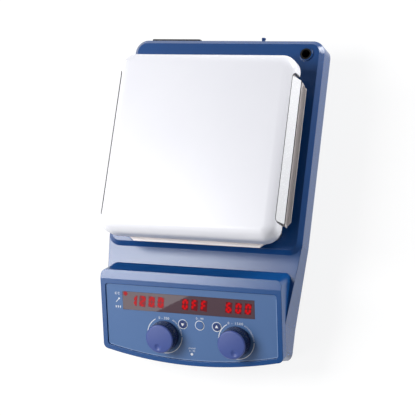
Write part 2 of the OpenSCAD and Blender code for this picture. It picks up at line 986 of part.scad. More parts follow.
module base_screws() {
  color(steel)
  at_plate() {
    for (x = [-1, 1], y = column_rows)
      translate([x*column_x, y, foot_height])
        screw(screw_m4 - run_gap, head_m4, head_m4_high,
              base_sheet + 5*head_m4_high);
    for (x = [-1, 1])
      translate([x*column_x, front_column_y, foot_height])
        screw(screw_m4 - run_gap, head_m4, head_m4_high,
              base_sheet + 4*head_m4_high);
  }
}

// console
// outline of the console in the plane of the panel
module console_outline(half, up, down, curve, corner) {
  middle = curve - down;
  corner_x = half - corner;
  inner_curve = curve - corner + corner_bite;
  corner_y = middle - sqrt(inner_curve*inner_curve - corner_x*corner_x);
  touch = corner_x*curve/inner_curve;
  translate([-half, corner_y]) square([2*half, up - corner - corner_y]);
  translate([-half + corner, corner_y])
    square([2*(half - corner), up - corner_y]);
  for (x = [-1, 1]) {
    translate([x*(half - corner), up - corner]) circle(r = corner);
    translate([x*corner_x, corner_y]) circle(r = corner);
  }
  intersection() {
    translate([0, middle]) circle(r = curve, $fn = 360);
    translate([-touch, -down])
      square([2*touch, corner_y + down + over]);
  }
}

module console_solid(inset, top) {
  intersection() {
    on_panel()
      translate([0, 0, -6*console_deep])
        linear_extrude(6*console_deep + top)
          console_outline(console_half - inset, console_crest - inset,
                          console_chin - inset, chin_curve - inset,
                          console_corner - inset);
    on_panel()
      rotate([90, 0, 90])
        linear_extrude(3*console_half, center = true)
          polygon([[-2*console_chin, -6*console_deep], [-2*console_chin, top],
                   [console_up, top],
                   [2*console_crest - console_up, top - 2*crest_drop],
                   [2*console_crest - console_up, -6*console_deep]]);
  }
}

// everything above the joint with the housing
module above_joint(down) {
  union() {
    translate([0, 0, floor_top - down])
      translate([-2*console_half, -2*panel_y, 0])
        cube([4*console_half, 3*panel_y, 3*console_crest]);
    on_panel()
      translate([-2*console_half, -3*console_chin, -console_deep - down])
        cube([4*console_half, 3*console_chin + 3*console_crest,
              4*console_deep]);
  }
}

module console_screw_holes(radius) {
  for (x = [-1, 1]) {
    translate([x*rear_screw_x, rear_screw_y, floor_top - 2*wall])
      cylinder(r = radius, h = 2*wall + over);
    translate([0, -panel_y, panel_z])
      rotate([tilt, 0, 0])
        translate([x*front_screw_x, -front_screw_down,
                   -console_deep - 2*wall])
          cylinder(r = radius, h = 2*wall + over);
  }
}

module console() {
  post_top = panel_back + console_wall/2;
  color(blue)
  difference() {
    union() {
      intersection() {
        difference() {
          console_solid(0, rim_height);
          console_solid(console_wall, panel_back);
        }
        above_joint(0);
      }
      intersection() {
        at_plate()
          for (x = [-1, 1])
            translate([x*rear_screw_x, rear_screw_y, floor_top])
              cylinder(r = console_boss, h = console_crest);
        console_solid(console_wall/2, rim_height - console_wall/2);
      }
      on_panel()
        for (x = [-1, 1])
          translate([x*front_screw_x, -front_screw_down, -console_deep])
            cylinder(r = console_boss, h = console_deep + post_top);
      on_panel()
        for (x = [-1, 1])
          translate([x*board_post_x, board_post_up, board_top])
            cylinder(r = board_post, h = post_top - board_top);
    }
    // bed of the overlay
    on_panel()
      translate([0, 0, -overlay_thick])
        linear_extrude(2*rim_height + overlay_thick)
          console_outline(inner_panel_half, inner_panel_up,
                          inner_panel_down, chin_curve - rim_width,
                          console_corner/2);
    on_panel() panel_openings(window_ledge, slide_gap, console_wall);
    // screw holes
    at_plate()
      for (x = [-1, 1])
        translate([x*rear_screw_x, rear_screw_y, floor_top - over])
          cylinder(r = screw_m3, h = 4*head_m3_high + over);
    on_panel()
      for (x = [-1, 1])
        translate([x*front_screw_x, -front_screw_down,
                   -console_deep - over])
          cylinder(r = screw_m3, h = 2*head_m3_high + over);
    on_panel()
      for (x = [-1, 1])
        translate([x*board_post_x, board_post_up, board_top - over])
          cylinder(r = screw_m3, h = 2.5*head_m3_high + over);
  }
}

// the openings that the panel and its overlay share
module panel_openings(ledge, gap, deep) {
  low = -overlay_thick - deep - over;
  high = deep + overlay_thick + 2*over;
  translate([-window_width/2 - window_shift + ledge,
             window_up - window_height/2 + ledge, low])
    cube([window_width - 2*ledge, window_height - 2*ledge, high]);
  for (x = [-1, 1])
    translate([controls_x + x*knob_spread, 0, low])
      cylinder(r = bush_radius + gap, h = high);
  for (i = [-1, 0, 1])
    translate([controls_x + i*button_pitch, button_up_place, low])
      cylinder(r = button_radius + gap, h = high);
  translate([0, -indicator_down, low])
    cylinder(r = indicator_radius + gap, h = high);
}

module console_screws() {
  color(steel) {
    at_plate()
      for (x = [-1, 1])
        translate([x*rear_screw_x, rear_screw_y, floor_top - wall])
          screw(screw_m3 - run_gap, head_m3, head_m3_high,
                wall + 3*head_m3_high);
    on_panel()
      for (x = [-1, 1])
        translate([x*front_screw_x, -front_screw_down,
                   -console_deep - wall])
          screw(screw_m3 - run_gap, head_m3, head_m3_high,
                wall + 1.5*head_m3_high);
  }
}

module overlay() {
  color(panel_blue)
  on_panel()
  difference() {
    translate([0, 0, -overlay_thick])
      linear_extrude(overlay_thick)
        console_outline(inner_panel_half - inlay_gap,
                        inner_panel_up - inlay_gap,
                        inner_panel_down - inlay_gap,
                        chin_curve - rim_width - inlay_gap,
                        console_corner/2 - inlay_gap);
    panel_openings(-window_gap, slide_gap, console_wall);
  }
}

module display_window() {
  color([0.35, 0.27, 0.27])
  on_panel()
  translate([-window_shift, window_up, -overlay_thick])
    linear_extrude(overlay_thick)
      square([window_width, window_height], center = true);
}

module led_modules() {
  color([0.25, 0.02, 0.02])
  on_panel()
  for (i = [0:2])
    translate([led_places[i], window_up, board_top])
      linear_extrude(encoder_deep - rest_gap)
        square([led_widths[i], led_height],
               center = true);
}

module control_board() {
  color(green)
  on_panel()
  difference() {
    translate([-board_half, -board_down, board_low])
      cube([2*board_half, board_down + board_up, board_sheet]);
    for (x = [-1, 1])
      translate([x*board_post_x, board_post_up, board_low - over])
        cylinder(r = screw_m3 + rest_gap/2, h = board_sheet + 2*over);
  }
}

module board_screws() {
  color(steel)
  on_panel()
  for (x = [-1, 1])
    translate([x*board_post_x, board_post_up, board_low])
      screw(screw_m3 - run_gap, head_m3, head_m3_high,
            board_sheet + 2*head_m3_high);
}

// controls
module at_knob(side) {
  on_panel() translate([controls_x + side*knob_spread, 0, 0]) children();
}

module encoder_bodies() {
  color(steel)
  for (side = [-1, 1])
    at_knob(side)
      difference() {
        union() {
          translate([0, 0, board_top])
            linear_extrude(encoder_deep)
              rounded_square(encoder_side, encoder_side, encoder_round);
          cylinder(r = bush_radius, h = bush_top);
          translate([0, 0, panel_back - over])
            cylinder(r = bush_radius, h = over - panel_back);
        }
        translate([0, 0, board_top + encoder_floor])
          cylinder(r = shaft_radius + run_gap,
                   h = encoder_deep + bush_top - panel_back);
      }
}

module encoder_nuts() {
  color(steel)
  for (side = [-1, 1])
    at_knob(side)
      difference() {
        linear_extrude(nut_high)
          circle(r = nut_flats/2/cos(30), $fn = 6);
        translate([0, 0, -over])
          cylinder(r = bush_radius + run_gap, h = nut_high + 2*over);
      }
}

module knob_shaft(side) {
  color(steel)
  at_knob(side)
  translate([0, 0, board_top + shaft_seat])
    cylinder(r = shaft_radius, h = shaft_end - board_top - shaft_seat);
}

module heat_shaft() {
  knob_shaft(-1);
}

module speed_shaft() {
  knob_shaft(1);
}

module knob(side, angle) {
  ball = (dimple_radius*dimple_radius + dimple_deep*dimple_deep)
         /(2*dimple_deep);
  color(knob_blue)
  at_knob(side)
  difference() {
    union() {
      translate([0, 0, knob_low])
        cylinder(r = knob_radius, h = knob_height - knob_low - knob_edge);
      translate([0, 0, knob_height - knob_edge])
        cylinder(r1 = knob_radius, r2 = knob_radius - knob_edge,
                 h = knob_edge);
    }
    translate([0, 0, -over])
      cylinder(r = knob_radius - knob_wall, h = knob_deep + over);
    cylinder(r = shaft_radius + seat_gap, h = shaft_end);
    rotate([0, 0, angle])
      translate([dimple_place, 0, knob_height + ball - dimple_deep])
        sphere(r = ball, $fn = 96);
  }
}

module heat_knob() {
  knob(-1, heat_dimple);
}

module speed_knob() {
  knob(1, speed_dimple);
}

module at_button(i) {
  on_panel()
    translate([controls_x + i*button_pitch, button_up_place, 0])
      children();
}

module button_switches() {
  color(black)
  for (i = [-1, 0, 1])
    at_button(i)
      difference() {
        translate([-switch_side/2, -switch_side/2, board_top])
          cube([switch_side, switch_side, switch_high]);
        translate([0, 0, board_top + switch_high/4])
          cylinder(r = stem_radius + slide_gap, h = switch_high);
      }
}

module button(i) {
  flange_top = panel_back;
  stem_low = board_top + switch_high/4 + 2*button_travel;
  color(panel_blue)
  at_button(i) {
    translate([0, 0, flange_top - cap_flange])
      cylinder(r = button_radius, h = cap_top - flange_top + cap_flange);
    translate([0, 0, flange_top - cap_flange])
      cylinder(r = button_radius + cap_flange, h = cap_flange);
    translate([0, 0, stem_low])
      cylinder(r = stem_radius, h = flange_top - stem_low);
  }
}

module down_button() {
  button(-1);
}

module mode_button() {
  button(0);
}

module up_button() {
  button(1);
}

module indicator() {
  color([0.9, 0.9, 0.9])
  on_panel()
  translate([0, -indicator_down, lens_low])
    cylinder(r = indicator_radius, h = overlay_thick/4 - lens_low);
  color([0.9, 0.9, 0.9])
  on_panel()
  translate([0, -indicator_down, lens_low])
    cylinder(r = 1.6*indicator_radius, h = panel_back - lens_low);
}

// drive
module motor_can() {
  inner = can_radius - can_wall;
  color(steel)
  at_plate()
  translate([0, 0, can_low])
  difference() {
    union() {
      tube(can_radius, inner, can_height);
      cylinder(r = can_radius, h = can_wall);
      tube(bearing_radius + seat_wall, bearing_radius + seat_gap,
           can_wall + 0.7*bearing_high);
      tube(inner + can_wall/2, inner - seat_wall, can_wall + bearing_high);
    }
    translate([0, 0, -over])
      cylinder(r = motor_shaft + rest_gap, h = can_wall + 2*over);
  }
}

module motor_bracket() {
  color(steel)
  at_plate()
  difference() {
    union() {
      translate([0, 0, bracket_low])
        linear_extrude(bracket_sheet)
          rounded_square(bracket_x, bracket_y, post);
      translate([0, 0, bracket_low - 0.8*bearing_high])
        tube(bearing_radius + seat_wall, bearing_radius + seat_gap,
             0.8*bearing_high + bracket_sheet/2);
    }
    translate([0, 0, bracket_low - over])
      cylinder(r = motor_shaft + 2*rest_gap, h = bracket_sheet + 2*over);
    four(post_x, post_y)
      translate([0, 0, bracket_low - over])
        cylinder(r = screw_m3 + rest_gap/2, h = bracket_sheet + 2*over);
  }
}

module motor_screws() {
  color(steel)
  at_plate()
  four(post_x, post_y)
    translate([0, 0, bracket_low])
      screw(screw_m3 - run_gap, head_m3, head_m3_high,
            bracket_sheet + 0.8*post_drop);
}

module bearings() {
  color(steel)
  at_plate()
  for (low = [can_low + can_wall, bracket_low - bearing_high])
    translate([0, 0, low])
      tube(bearing_radius, motor_shaft + run_gap, bearing_high);
}

module stator() {
  inner = can_radius - can_wall;
  color(brass)
  at_plate()
  translate([0, 0, can_low + can_wall + bearing_high])
    tube(inner - rest_gap, stator_inner, stator_high);
}

module rotor() {
  color(steel)
  at_plate() {
    translate([0, 0, can_low + can_wall + bearing_high
               + (stator_high - rotor_high)/2])
      cylinder(r = rotor_radius, h = rotor_high);
    translate([0, 0, can_low + can_wall])
      cylinder(r = motor_shaft, h = shaft_top - can_low - can_wall);
  }
}

module magnet_yoke() {
  color(steel)
  at_plate()
  translate([0, 0, shaft_top]) {
    linear_extrude(yoke_sheet)
      rounded_square(yoke_length, yoke_width, yoke_width/4);
    translate([0, 0, -hub_high])
      tube(hub_radius, motor_shaft + seat_gap, hub_high + yoke_sheet/8);
  }
}

module magnets() {
  color(black)
  at_plate()
  for (x = [-1, 1])
    translate([x*magnet_place, 0, shaft_top + yoke_sheet])
      cylinder(r = magnet_radius, h = magnet_high);
}

// power board
module at_board() {
  translate([0, plate_y + board_mid_y, body_foot + pillar_high])
    children();
}

module board_pillars() {
  color(brass)
  translate([0, plate_y + board_mid_y, body_foot])
    four(board_x/2 - 2*pillar, board_y/2 - 2*pillar)
      cylinder(r = pillar, h = pillar_high);
}

module power_board() {
  color(green)
  at_board() box([board_x, board_y, board_sheet]);
}

module transformer() {
  color([0.5, 0.35, 0.15])
  at_board()
  translate([coil_x, 0, board_sheet]) box(coil_box);
}

module board_parts() {
  color(black)
  at_board()
  translate([0, 0, board_sheet]) {
    translate([-coil_x/2, -board_y/4, 0]) box(relay_box);
    translate([-coil_x, board_y/4, 0]) box(sink_box);
    for (x = cap_places)
      translate([x, -board_y/4, 0]) cylinder(r = cap_radius, h = cap_high);
  }
}

// rear panel
module socket_shape(wide, high, cut) {
  polygon([[-wide/2, -high/2], [wide/2, -high/2],
           [wide/2, high/2 - cut], [wide/2 - cut, high/2],
           [-wide/2 + cut, high/2], [-wide/2, high/2 - cut]]);
}

// x runs along +X, y upwards and z out of the rear wall
module at_inlet() {
  at_rear(-inlet_left, inlet_z) mirror([0, 1, 0]) children();
}

module inlet_body() {
  color(black)
  at_inlet()
  difference() {
    union() {
      linear_extrude(flange_thick)
        rounded_square(flange_width, flange_height, flange_corner);
      translate([0, 0, -inlet_body_deep])
        linear_extrude(inlet_body_deep + flange_thick/2)
          square([flange_width - 2*socket_wall - 2*rest_gap,
                  flange_height - 2*socket_wall - 2*rest_gap],
                 center = true);
    }
    // the socket for a cord's plug
    translate([-socket_left, socket_up, flange_thick - socket_deep])
      linear_extrude(socket_deep + over)
        socket_shape(socket_width, socket_height, socket_chamfer);
    for (x = [-1, 0, 1])
      translate([-socket_left + x*pin_pitch,
                 socket_up + (x == 0 ? earth_rise : -earth_rise),
                 flange_thick - socket_deep - pin_root])
        linear_extrude(pin_root + over)
          square([pin_width + seat_gap, pin_height + seat_gap],
                 center = true);
    // the slot for the fuse drawer
    translate([-socket_left - drawer_width/2 - slide_gap,
               -drawer_down - drawer_height/2 - slide_gap,
               flange_thick - drawer_deep - slide_gap])
      cube([drawer_width + 2*slide_gap, drawer_height + 2*slide_gap,
            drawer_deep + slide_gap + over]);
    // the well for the rocker
    translate([rocker_right - rocker_width/2 - rocker_gap,
               -rocker_height/2 - rocker_gap, -rocker_deep])
      cube([rocker_width + 2*rocker_gap, rocker_height + 2*rocker_gap,
            rocker_deep + flange_thick + over]);
    rocker_pivots(pivot_radius + run_gap, pivot_out + slide_gap);
  }
}

// the two round pivots at the sides of the rocker
module rocker_pivots(radius, out) {
  translate([rocker_right, 0, -rocker_deep/2])
    rotate([0, 90, 0])
      cylinder(r = radius, h = rocker_width + 2*out, center = true);
}

module inlet_pins() {
  color(brass)
  at_inlet()
  for (x = [-1, 0, 1])
    translate([-socket_left + x*pin_pitch,
               socket_up + (x == 0 ? earth_rise : -earth_rise),
               flange_thick - socket_deep - pin_root])
      linear_extrude(pin_length + pin_root)
        square([pin_width, pin_height], center = true);
}

module fuse_drawer() {
  color(black)
  at_inlet()
  difference() {
    translate([-socket_left - drawer_width/2,
               -drawer_down - drawer_height/2,
               flange_thick - drawer_deep])
      cube([drawer_width, drawer_height, drawer_deep]);
    translate([-socket_left - drawer_width/2 + drawer_face,
               -drawer_down - drawer_height/2 + drawer_face,
               flange_thick - drawer_deep + drawer_face])
      cube([drawer_width - 2*drawer_face, drawer_height,
            drawer_deep - 3*drawer_face]);
    translate([-socket_left - drawer_width/4,
               -drawer_down - drawer_height/2 - over,
               flange_thick - drawer_face/2])
      cube([drawer_width/2, over + drawer_height/4, drawer_face]);
  }
}

module fuse() {
  color(white)
  at_inlet()
  translate([-socket_left, -drawer_down - drawer_height/2 + drawer_face
             + fuse_radius, flange_thick - drawer_deep/2])
    rotate([0, 90, 0])
      cylinder(r = fuse_radius, h = fuse_length, center = true);
}

module power_rocker() {
  reach = rocker_height/2;
  peak = rocker_deep/2 + 1.25*flange_thick;
  dip = reach*tan(rocker_tilt);
  lean = peak*tan(rocker_tilt);
  color(black)
  at_inlet() {
    translate([rocker_right, 0, -rocker_deep/2])
      rotate([-rocker_tilt, 0, 0])
        rotate([90, 0, 90])
          linear_extrude(rocker_width, center = true)
            polygon([[-reach + rocker_gap, 0], [reach - rocker_gap, 0],
                     [reach - rocker_gap - lean, peak], [0, peak - dip],
                     [-reach + rocker_gap + lean, peak]]);
    rocker_pivots(pivot_radius, pivot_out);
  }
}

module probe_socket() {
  color(steel)
  at_rear(probe_x, probe_z)
  difference() {
    union() {
      cylinder(r = probe_flange, h = probe_rim);
      translate([0, 0, -probe_deep])
        cylinder(r = probe_radius, h = probe_deep + probe_rim);
    }
    translate([0, 0, -probe_deep/2])
      cylinder(r = probe_radius - socket_wall, h = probe_deep + probe_rim);
    for (i = [0:4])
      rotate([0, 0, 45*i])
        translate([probe_ring, 0, -probe_deep/2 - pin_root])
          cylinder(r = probe_pin + seat_gap, h = pin_root + over);
  }
}

module probe_pins() {
  color(brass)
  at_rear(probe_x, probe_z)
  for (i = [0:4])
    rotate([0, 0, 45*i])
      translate([probe_ring, 0, -probe_deep/2 - pin_root])
        cylinder(r = probe_pin, h = probe_deep/2 + pin_root);
}

module cable_peg() {
  color(blue)
  at_rear(probe_x, peg_z) {
    cylinder(r = peg_radius, h = peg_length);
    translate([0, 0, peg_length - peg_head_long])
      cylinder(r = peg_head, h = peg_head_long);
  }
}

housing();
base_pan();
rubber_feet();
foot_screws();
base_screws();
console();
console_screws();
overlay();
display_window();
led_modules();
control_board();
board_screws();
encoder_bodies();
encoder_nuts();
heat_shaft();
speed_shaft();
heat_knob();
speed_knob();
button_switches();
down_button();
mode_button();
up_button();
indicator();
plate_pan();
plate_carrier();
carrier_screws();
heater_plate();
insulation_pad();
heat_shield();
standoffs();
standoff_screws();
temperature_sensor();
motor_can();
motor_bracket();
motor_screws();
bearings();
stator();
rotor();
magnet_yoke();
magnets();
power_board();
transformer();
board_parts();
board_pillars();
inlet_body();
inlet_pins();
fuse_drawer();
fuse();
power_rocker();
probe_socket();
probe_pins();
cable_peg();
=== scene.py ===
import json
import math
import bmesh
import bpy
from mathutils import Matrix, Vector


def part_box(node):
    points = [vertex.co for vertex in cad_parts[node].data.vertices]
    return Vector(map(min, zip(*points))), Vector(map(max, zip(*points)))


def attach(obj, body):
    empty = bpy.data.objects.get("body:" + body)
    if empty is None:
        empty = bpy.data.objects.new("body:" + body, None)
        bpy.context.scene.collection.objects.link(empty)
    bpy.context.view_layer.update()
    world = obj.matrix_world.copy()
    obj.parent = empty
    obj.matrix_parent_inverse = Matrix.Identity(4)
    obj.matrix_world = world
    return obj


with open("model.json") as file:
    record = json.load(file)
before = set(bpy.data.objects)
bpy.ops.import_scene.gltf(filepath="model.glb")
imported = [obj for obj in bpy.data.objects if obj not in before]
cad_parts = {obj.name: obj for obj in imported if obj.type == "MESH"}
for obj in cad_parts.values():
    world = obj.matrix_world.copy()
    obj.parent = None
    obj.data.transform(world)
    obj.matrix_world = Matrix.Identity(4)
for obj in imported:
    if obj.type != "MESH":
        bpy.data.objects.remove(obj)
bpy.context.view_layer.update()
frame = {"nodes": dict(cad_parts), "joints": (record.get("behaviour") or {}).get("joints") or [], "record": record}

# Camera. The photograph looks steeply down on the stirrer from its front right, and the camera
# is rolled so that the plate stands upright in the frame. The lens is a long one.
camera_turn = math.radians(60.75)
camera_height = math.radians(64.66)
camera_roll = math.radians(55.67)
camera_away = 1.48162
aim = Vector((0, 0.00026, 0.080))
back = Vector((math.sin(camera_turn)*math.cos(camera_height),
               -math.cos(camera_turn)*math.cos(camera_height), math.sin(camera_height)))
level = Vector((math.cos(camera_turn), math.sin(camera_turn), 0))
upright = back.cross(level)
across = level*math.cos(camera_roll) - upright*math.sin(camera_roll)
up = level*math.sin(camera_roll) + upright*math.cos(camera_roll)
camera = bpy.data.objects.new("camera", bpy.data.cameras.new("camera"))
camera.data.sensor_width = 36
camera.data.lens = 130.91
camera.data.shift_x = 0.01736
camera.data.shift_y = -0.0425
camera.data.clip_end = 100
camera.matrix_world = Matrix.Translation(aim + back*camera_away) @ Matrix(
    (across, up, back)).transposed().to_4x4()
bpy.context.scene.collection.objects.link(camera)
bpy.context.scene.camera = camera
bpy.context.scene.view_settings.view_transform = "Standard"


def linear(colour):
    """An sRGB hex colour as the linear one that a socket takes."""
    parts = [int(colour[i:i + 2], 16)/255 for i in (1, 3, 5)]
    return [p/12.92 if p <= 0.04045 else ((p + 0.055)/1.055)**2.4 for p in parts] + [1]


def add(tree, kind, sockets=None, **settings):
    """Adds a node. A socket takes a plain value or the output that is linked to it."""
    node = tree.nodes.new("ShaderNode" + kind)
    for key, value in settings.items():
        setattr(node, key, value)
    for key, value in (sockets or {}).items():
        if isinstance(value, bpy.types.NodeSocket):
            tree.links.new(value, node.inputs[key])
        else:
            node.inputs[key].default_value = value
    return node


def blank(name):
    """A new material without nodes, and its tree."""
    look = bpy.data.materials.new(name)
    look.use_nodes = True
    look.node_tree.nodes.clear()
    return look, look.node_tree


# Studio. A wide white paper floor under a long softbox high on the left, a smaller one at the
# front left whose edge crosses the window, and one low on the right that faces the paper.
paper_seen, paper_mirrored, paper_white = 0.80, 0.60, 1.08
floor_drop = 0.0001
floor_form = bmesh.new()
bmesh.ops.create_grid(floor_form, x_segments=4, y_segments=4, size=20,
                      matrix=Matrix.Translation((0, 0, -floor_drop)))
floor_mesh = bpy.data.meshes.new("paper_floor")
floor_form.to_mesh(floor_mesh)
floor_form.free()
floor = bpy.data.objects.new("paper_floor", floor_mesh)
bpy.context.scene.collection.objects.link(floor)

paper, tree = blank("white_paper")
path = add(tree, "LightPath")
seen = add(tree, "Math", {0: path.outputs["Is Camera Ray"],
                          1: path.outputs["Is Transmission Ray"]}, operation="ADD",
           use_clamp=True)
seen = add(tree, "Math", {0: seen.outputs[0], 1: paper_seen}, operation="MULTIPLY")
share = add(tree, "Math", {0: path.outputs["Is Glossy Ray"], 1: paper_mirrored,
                           2: seen.outputs[0]}, operation="MULTIPLY_ADD", use_clamp=True)
matt = add(tree, "BsdfDiffuse", {"Color": linear("#F2F2F2")})
glow = add(tree, "Emission", {"Color": linear("#FFFFFF"), "Strength": paper_white})
both = add(tree, "MixShader", {0: share.outputs[0], 1: matt.outputs[0], 2: glow.outputs[0]})
add(tree, "OutputMaterial", {"Surface": both.outputs[0]})
floor_mesh.materials.append(paper)

world = bpy.data.worlds.new("even_light")
world.use_nodes = True
world.node_tree.nodes["Background"].inputs["Color"].default_value = linear("#F4F7FF")
world.node_tree.nodes["Background"].inputs["Strength"].default_value = 0.17
bpy.context.scene.world = world

for name, place, facing, edge, size, radiance in (
        ("key_softbox", (-0.90, -0.03, 1.25), (0, 0, -1), (1, 0, 0), (1.00, 0.54), 12.6),
        ("front_softbox", (-0.595, -0.675, 0.987), (0.377, 0.634, -0.675),
         (0.466, -0.760, -0.454), (0.50, 0.80), 2.4),
        ("side_softbox", (0.62, 0.64, 0.13), (-0.73, -0.68, 0), (-0.68, 0.73, 0),
         (0.50, 0.24), 15.0)):
    lamp = bpy.data.lights.new(name, "AREA")
    lamp.shape = "RECTANGLE"
    lamp.size, lamp.size_y = size
    lamp.energy = radiance*math.pi*size[0]*size[1]
    holder = bpy.data.objects.new(name, lamp)
    behind = -Vector(facing).normalized()
    wide = (Vector(edge) - behind*Vector(edge).dot(behind)).normalized()
    holder.matrix_world = Matrix.Translation(place) @ Matrix(
        (wide, behind.cross(wide), behind)).transposed().to_4x4()
    bpy.context.scene.collection.objects.link(holder)


# Housing: one aluminium casting with a bevelled deck, a raised ring around the rod's hole and a
# long nose under the console. It is blasted and then powder-coated in a deep semi-gloss blue.
def surface(name, main, shade, patch, grain, depth, rough, edge=0, stretch=(1, 1, 1), plain=None):
    """A finish in two close colours in soft patches, with a fine grain in its shine and relief.
    Sizes are in metres; edge is the radius that the maker leaves on a corner."""
    look, tree = blank(name)
    place = add(tree, "TexCoord").outputs["Object"]
    cloud = add(tree, "TexNoise", {"Vector": place, "Scale": 1/patch, "Detail": 3.0})
    drawn = add(tree, "Mapping", {"Vector": place, "Scale": stretch})
    fine = add(tree, "TexNoise", {"Vector": drawn.outputs[0], "Scale": 1/grain, "Detail": 2.0})
    tint = add(tree, "Mix", {0: cloud.outputs[0], 6: linear(main), 7: linear(shade)},
               data_type="RGBA")
    dull = add(tree, "MapRange", {"Value": fine.outputs[0], "From Min": 0.25, "From Max": 0.75,
                                  "To Min": rough[0], "To Max": rough[1]})
    relief = add(tree, "Bump", {"Height": fine.outputs[0], "Strength": 1.0, "Distance": depth})
    if edge:
        worn = add(tree, "Bevel", {"Radius": edge}, samples=6)
        tree.links.new(worn.outputs[0], relief.inputs["Normal"])
    shader = add(tree, "BsdfPrincipled",
                 {"Base Color": tint.outputs[2], "Roughness": dull.outputs[0],
                  "Normal": relief.outputs[0], **(plain or {})})
    add(tree, "OutputMaterial", {"Surface": shader.outputs[0]})
    return look


def dress(look, *names):
    """Gives CAD nodes their finish."""
    for name in names:
        for slot in frame["nodes"][name].material_slots:
            slot.material = look


# Powder coat melts into a skin with a shallow orange peel, here 2 mm wide, and rounds each edge.
powder_coat = surface("powder_coated_cast_aluminium", "#0A417E", "#0E4886", 0.06, 0.002,
                      0.0000006, (0.255, 0.265), edge=0.0009,
                      plain={"IOR": 1.58, "Coat Weight": 0.25, "Coat Roughness": 0.26})
dress(powder_coat, "housing")

# Rod's bush: a blackened steel ring with a thread, pressed into the raised ring of the deck. Its
# rim is turned with a small chamfer on both sides.
rod = next(m for m in frame["record"]["mounts"] if m["name"] == "support_rod_socket")["pos_m"]
bush_top = 0.0620
bush = bmesh.new()
section = [bush.verts.new((x/1000, 0, bush_top + z/1000)) for x, z in (
    (4.2, -16.0), (4.2, 0.05), (4.3, 0.15), (5.7, 0.15), (5.8, 0.05), (5.8, -1.0), (4.6, -1.0),
    (4.6, -16.0))]
edges = [bush.edges.new((a, b)) for a, b in zip(section, section[1:] + section[:1])]
bmesh.ops.spin(bush, geom=section + edges, cent=(0, 0, 0), axis=(0, 0, 1), dvec=(0, 0, 0),
               angle=math.tau, steps=48, use_merge=True)
bmesh.ops.translate(bush, verts=bush.verts, vec=(rod[0], rod[1], 0))
bmesh.ops.recalc_face_normals(bush, faces=bush.faces)
bush_mesh = bpy.data.meshes.new("rod_bush")
bush.to_mesh(bush_mesh)
bush.free()
# Blackened steel is nearly black, with a dull shine and the fine rings of the turning.
bush_mesh.materials.append(surface("blackened_turned_steel", "#060607", "#0A0A0C", 0.004, 0.0006,
                                   0.000002, (0.70, 0.80), plain={"IOR": 1.4}))
rod_bush = bpy.data.objects.new("rod_bush", bush_mesh)
bpy.context.scene.collection.objects.link(rod_bush)
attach(rod_bush, "base")

# Base pan, its feet and their screws: black-painted steel sheet, held to the housing's columns
# by six screws, with four moulded rubber feet that each hide a screw in a dished hole.
dress(surface("black_stove_enamelled_steel", "#141416", "#1B1B1E", 0.04, 0.0012, 0.00001,
              (0.38, 0.50), edge=0.0004), "base_pan")
# Rubber is nearly black and dull, with a fine grain from the mould, drawn at 0.8 mm.
dress(surface("moulded_nitrile_rubber", "#19191A", "#222223", 0.012, 0.0008, 0.00004,
              (0.66, 0.80), edge=0.0006), "rubber_feet")
# Zinc plate is a soft grey metal with a faint blue cast and turned marks.
zinc_plate = surface("zinc_plated_steel", "#B9BCC0", "#C9CCD2", 0.004, 0.0006, 0.000006,
                     (0.28, 0.42), edge=0.0002, plain={"Metallic": 1.0})
dress(zinc_plate, "base_screws", "foot_screws", "console_screws", "board_screws",
      "carrier_screws", "standoff_screws", "motor_screws", "encoder_nuts")

# Motor: an outer steel can that hangs from a bracket under the deck, with a laminated stator,
# a rotor on a through shaft in two ball bearings, and the yoke with two magnets on top.
dress(surface("deep_drawn_steel", "#A2A6AA", "#B4B8BC", 0.02, 0.0010, 0.000008, (0.30, 0.40),
              edge=0.0004, stretch=(1, 1, 6), plain={"Metallic": 1.0}),
      "motor_can", "motor_bracket")
dress(surface("ground_bearing_steel", "#BFC2C6", "#CFD2D6", 0.006, 0.0008, 0.000004,
              (0.16, 0.24), edge=0.0002, stretch=(1, 1, 5), plain={"Metallic": 1.0}),
      "bearings", "heat_shaft", "speed_shaft", "rotor")
# Enamelled copper wire lies in turns, drawn 1.2 mm thick as fine rings around the motor.
copper_wire = surface("enamelled_copper_wire", "#9A5A22", "#B87333", 0.010, 0.0012, 0.00020,
                      (0.28, 0.40), stretch=(0.15, 0.15, 1), plain={"Metallic": 1.0})
dress(copper_wire, "stator", "transformer")
dress(surface("nickel_plated_steel", "#B4B2AC", "#C6C4BE", 0.015, 0.0010, 0.000006,
              (0.26, 0.36), edge=0.0004, plain={"Metallic": 1.0}), "magnet_yoke", "standoffs",
      "encoder_bodies", "temperature_sensor")
# Sintered ferrite is a dark, slightly brown ceramic with a ground face.
dress(surface("sintered_ferrite", "#2A2829", "#353233", 0.006, 0.0007, 0.00002, (0.45, 0.60),
              edge=0.0003), "magnets")

# Circuit boards: glass-epoxy under green solder resist, with tinned copper tracks that run
# square to each other at a pitch of 2.5 mm, and the black moulded parts that stand on them.
board_look, tree = blank("green_solder_resist")
place = add(tree, "TexCoord").outputs["Object"]
tracks = add(tree, "TexBrick", {"Vector": place, "Scale": 1.0, "Mortar Size": 0.00045,
                                "Mortar Smooth": 0.1, "Brick Width": 0.0125,
                                "Row Height": 0.0025, "Color1": linear("#0F5A30"),
                                "Color2": linear("#136437"), "Mortar": linear("#2A8A50")})
grain = add(tree, "TexNoise", {"Vector": place, "Scale": 900.0})
dull = add(tree, "MapRange", {"Value": grain.outputs[0], "To Min": 0.22, "To Max": 0.38})
relief = add(tree, "Bump", {"Height": tracks.outputs["Fac"], "Strength": 1.0,
                            "Distance": 0.00004})
shader = add(tree, "BsdfPrincipled", {"Base Color": tracks.outputs["Color"],
                                      "Roughness": dull.outputs[0],
                                      "Normal": relief.outputs[0]})
add(tree, "OutputMaterial", {"Surface": shader.outputs[0]})
dress(board_look, "control_board", "power_board")
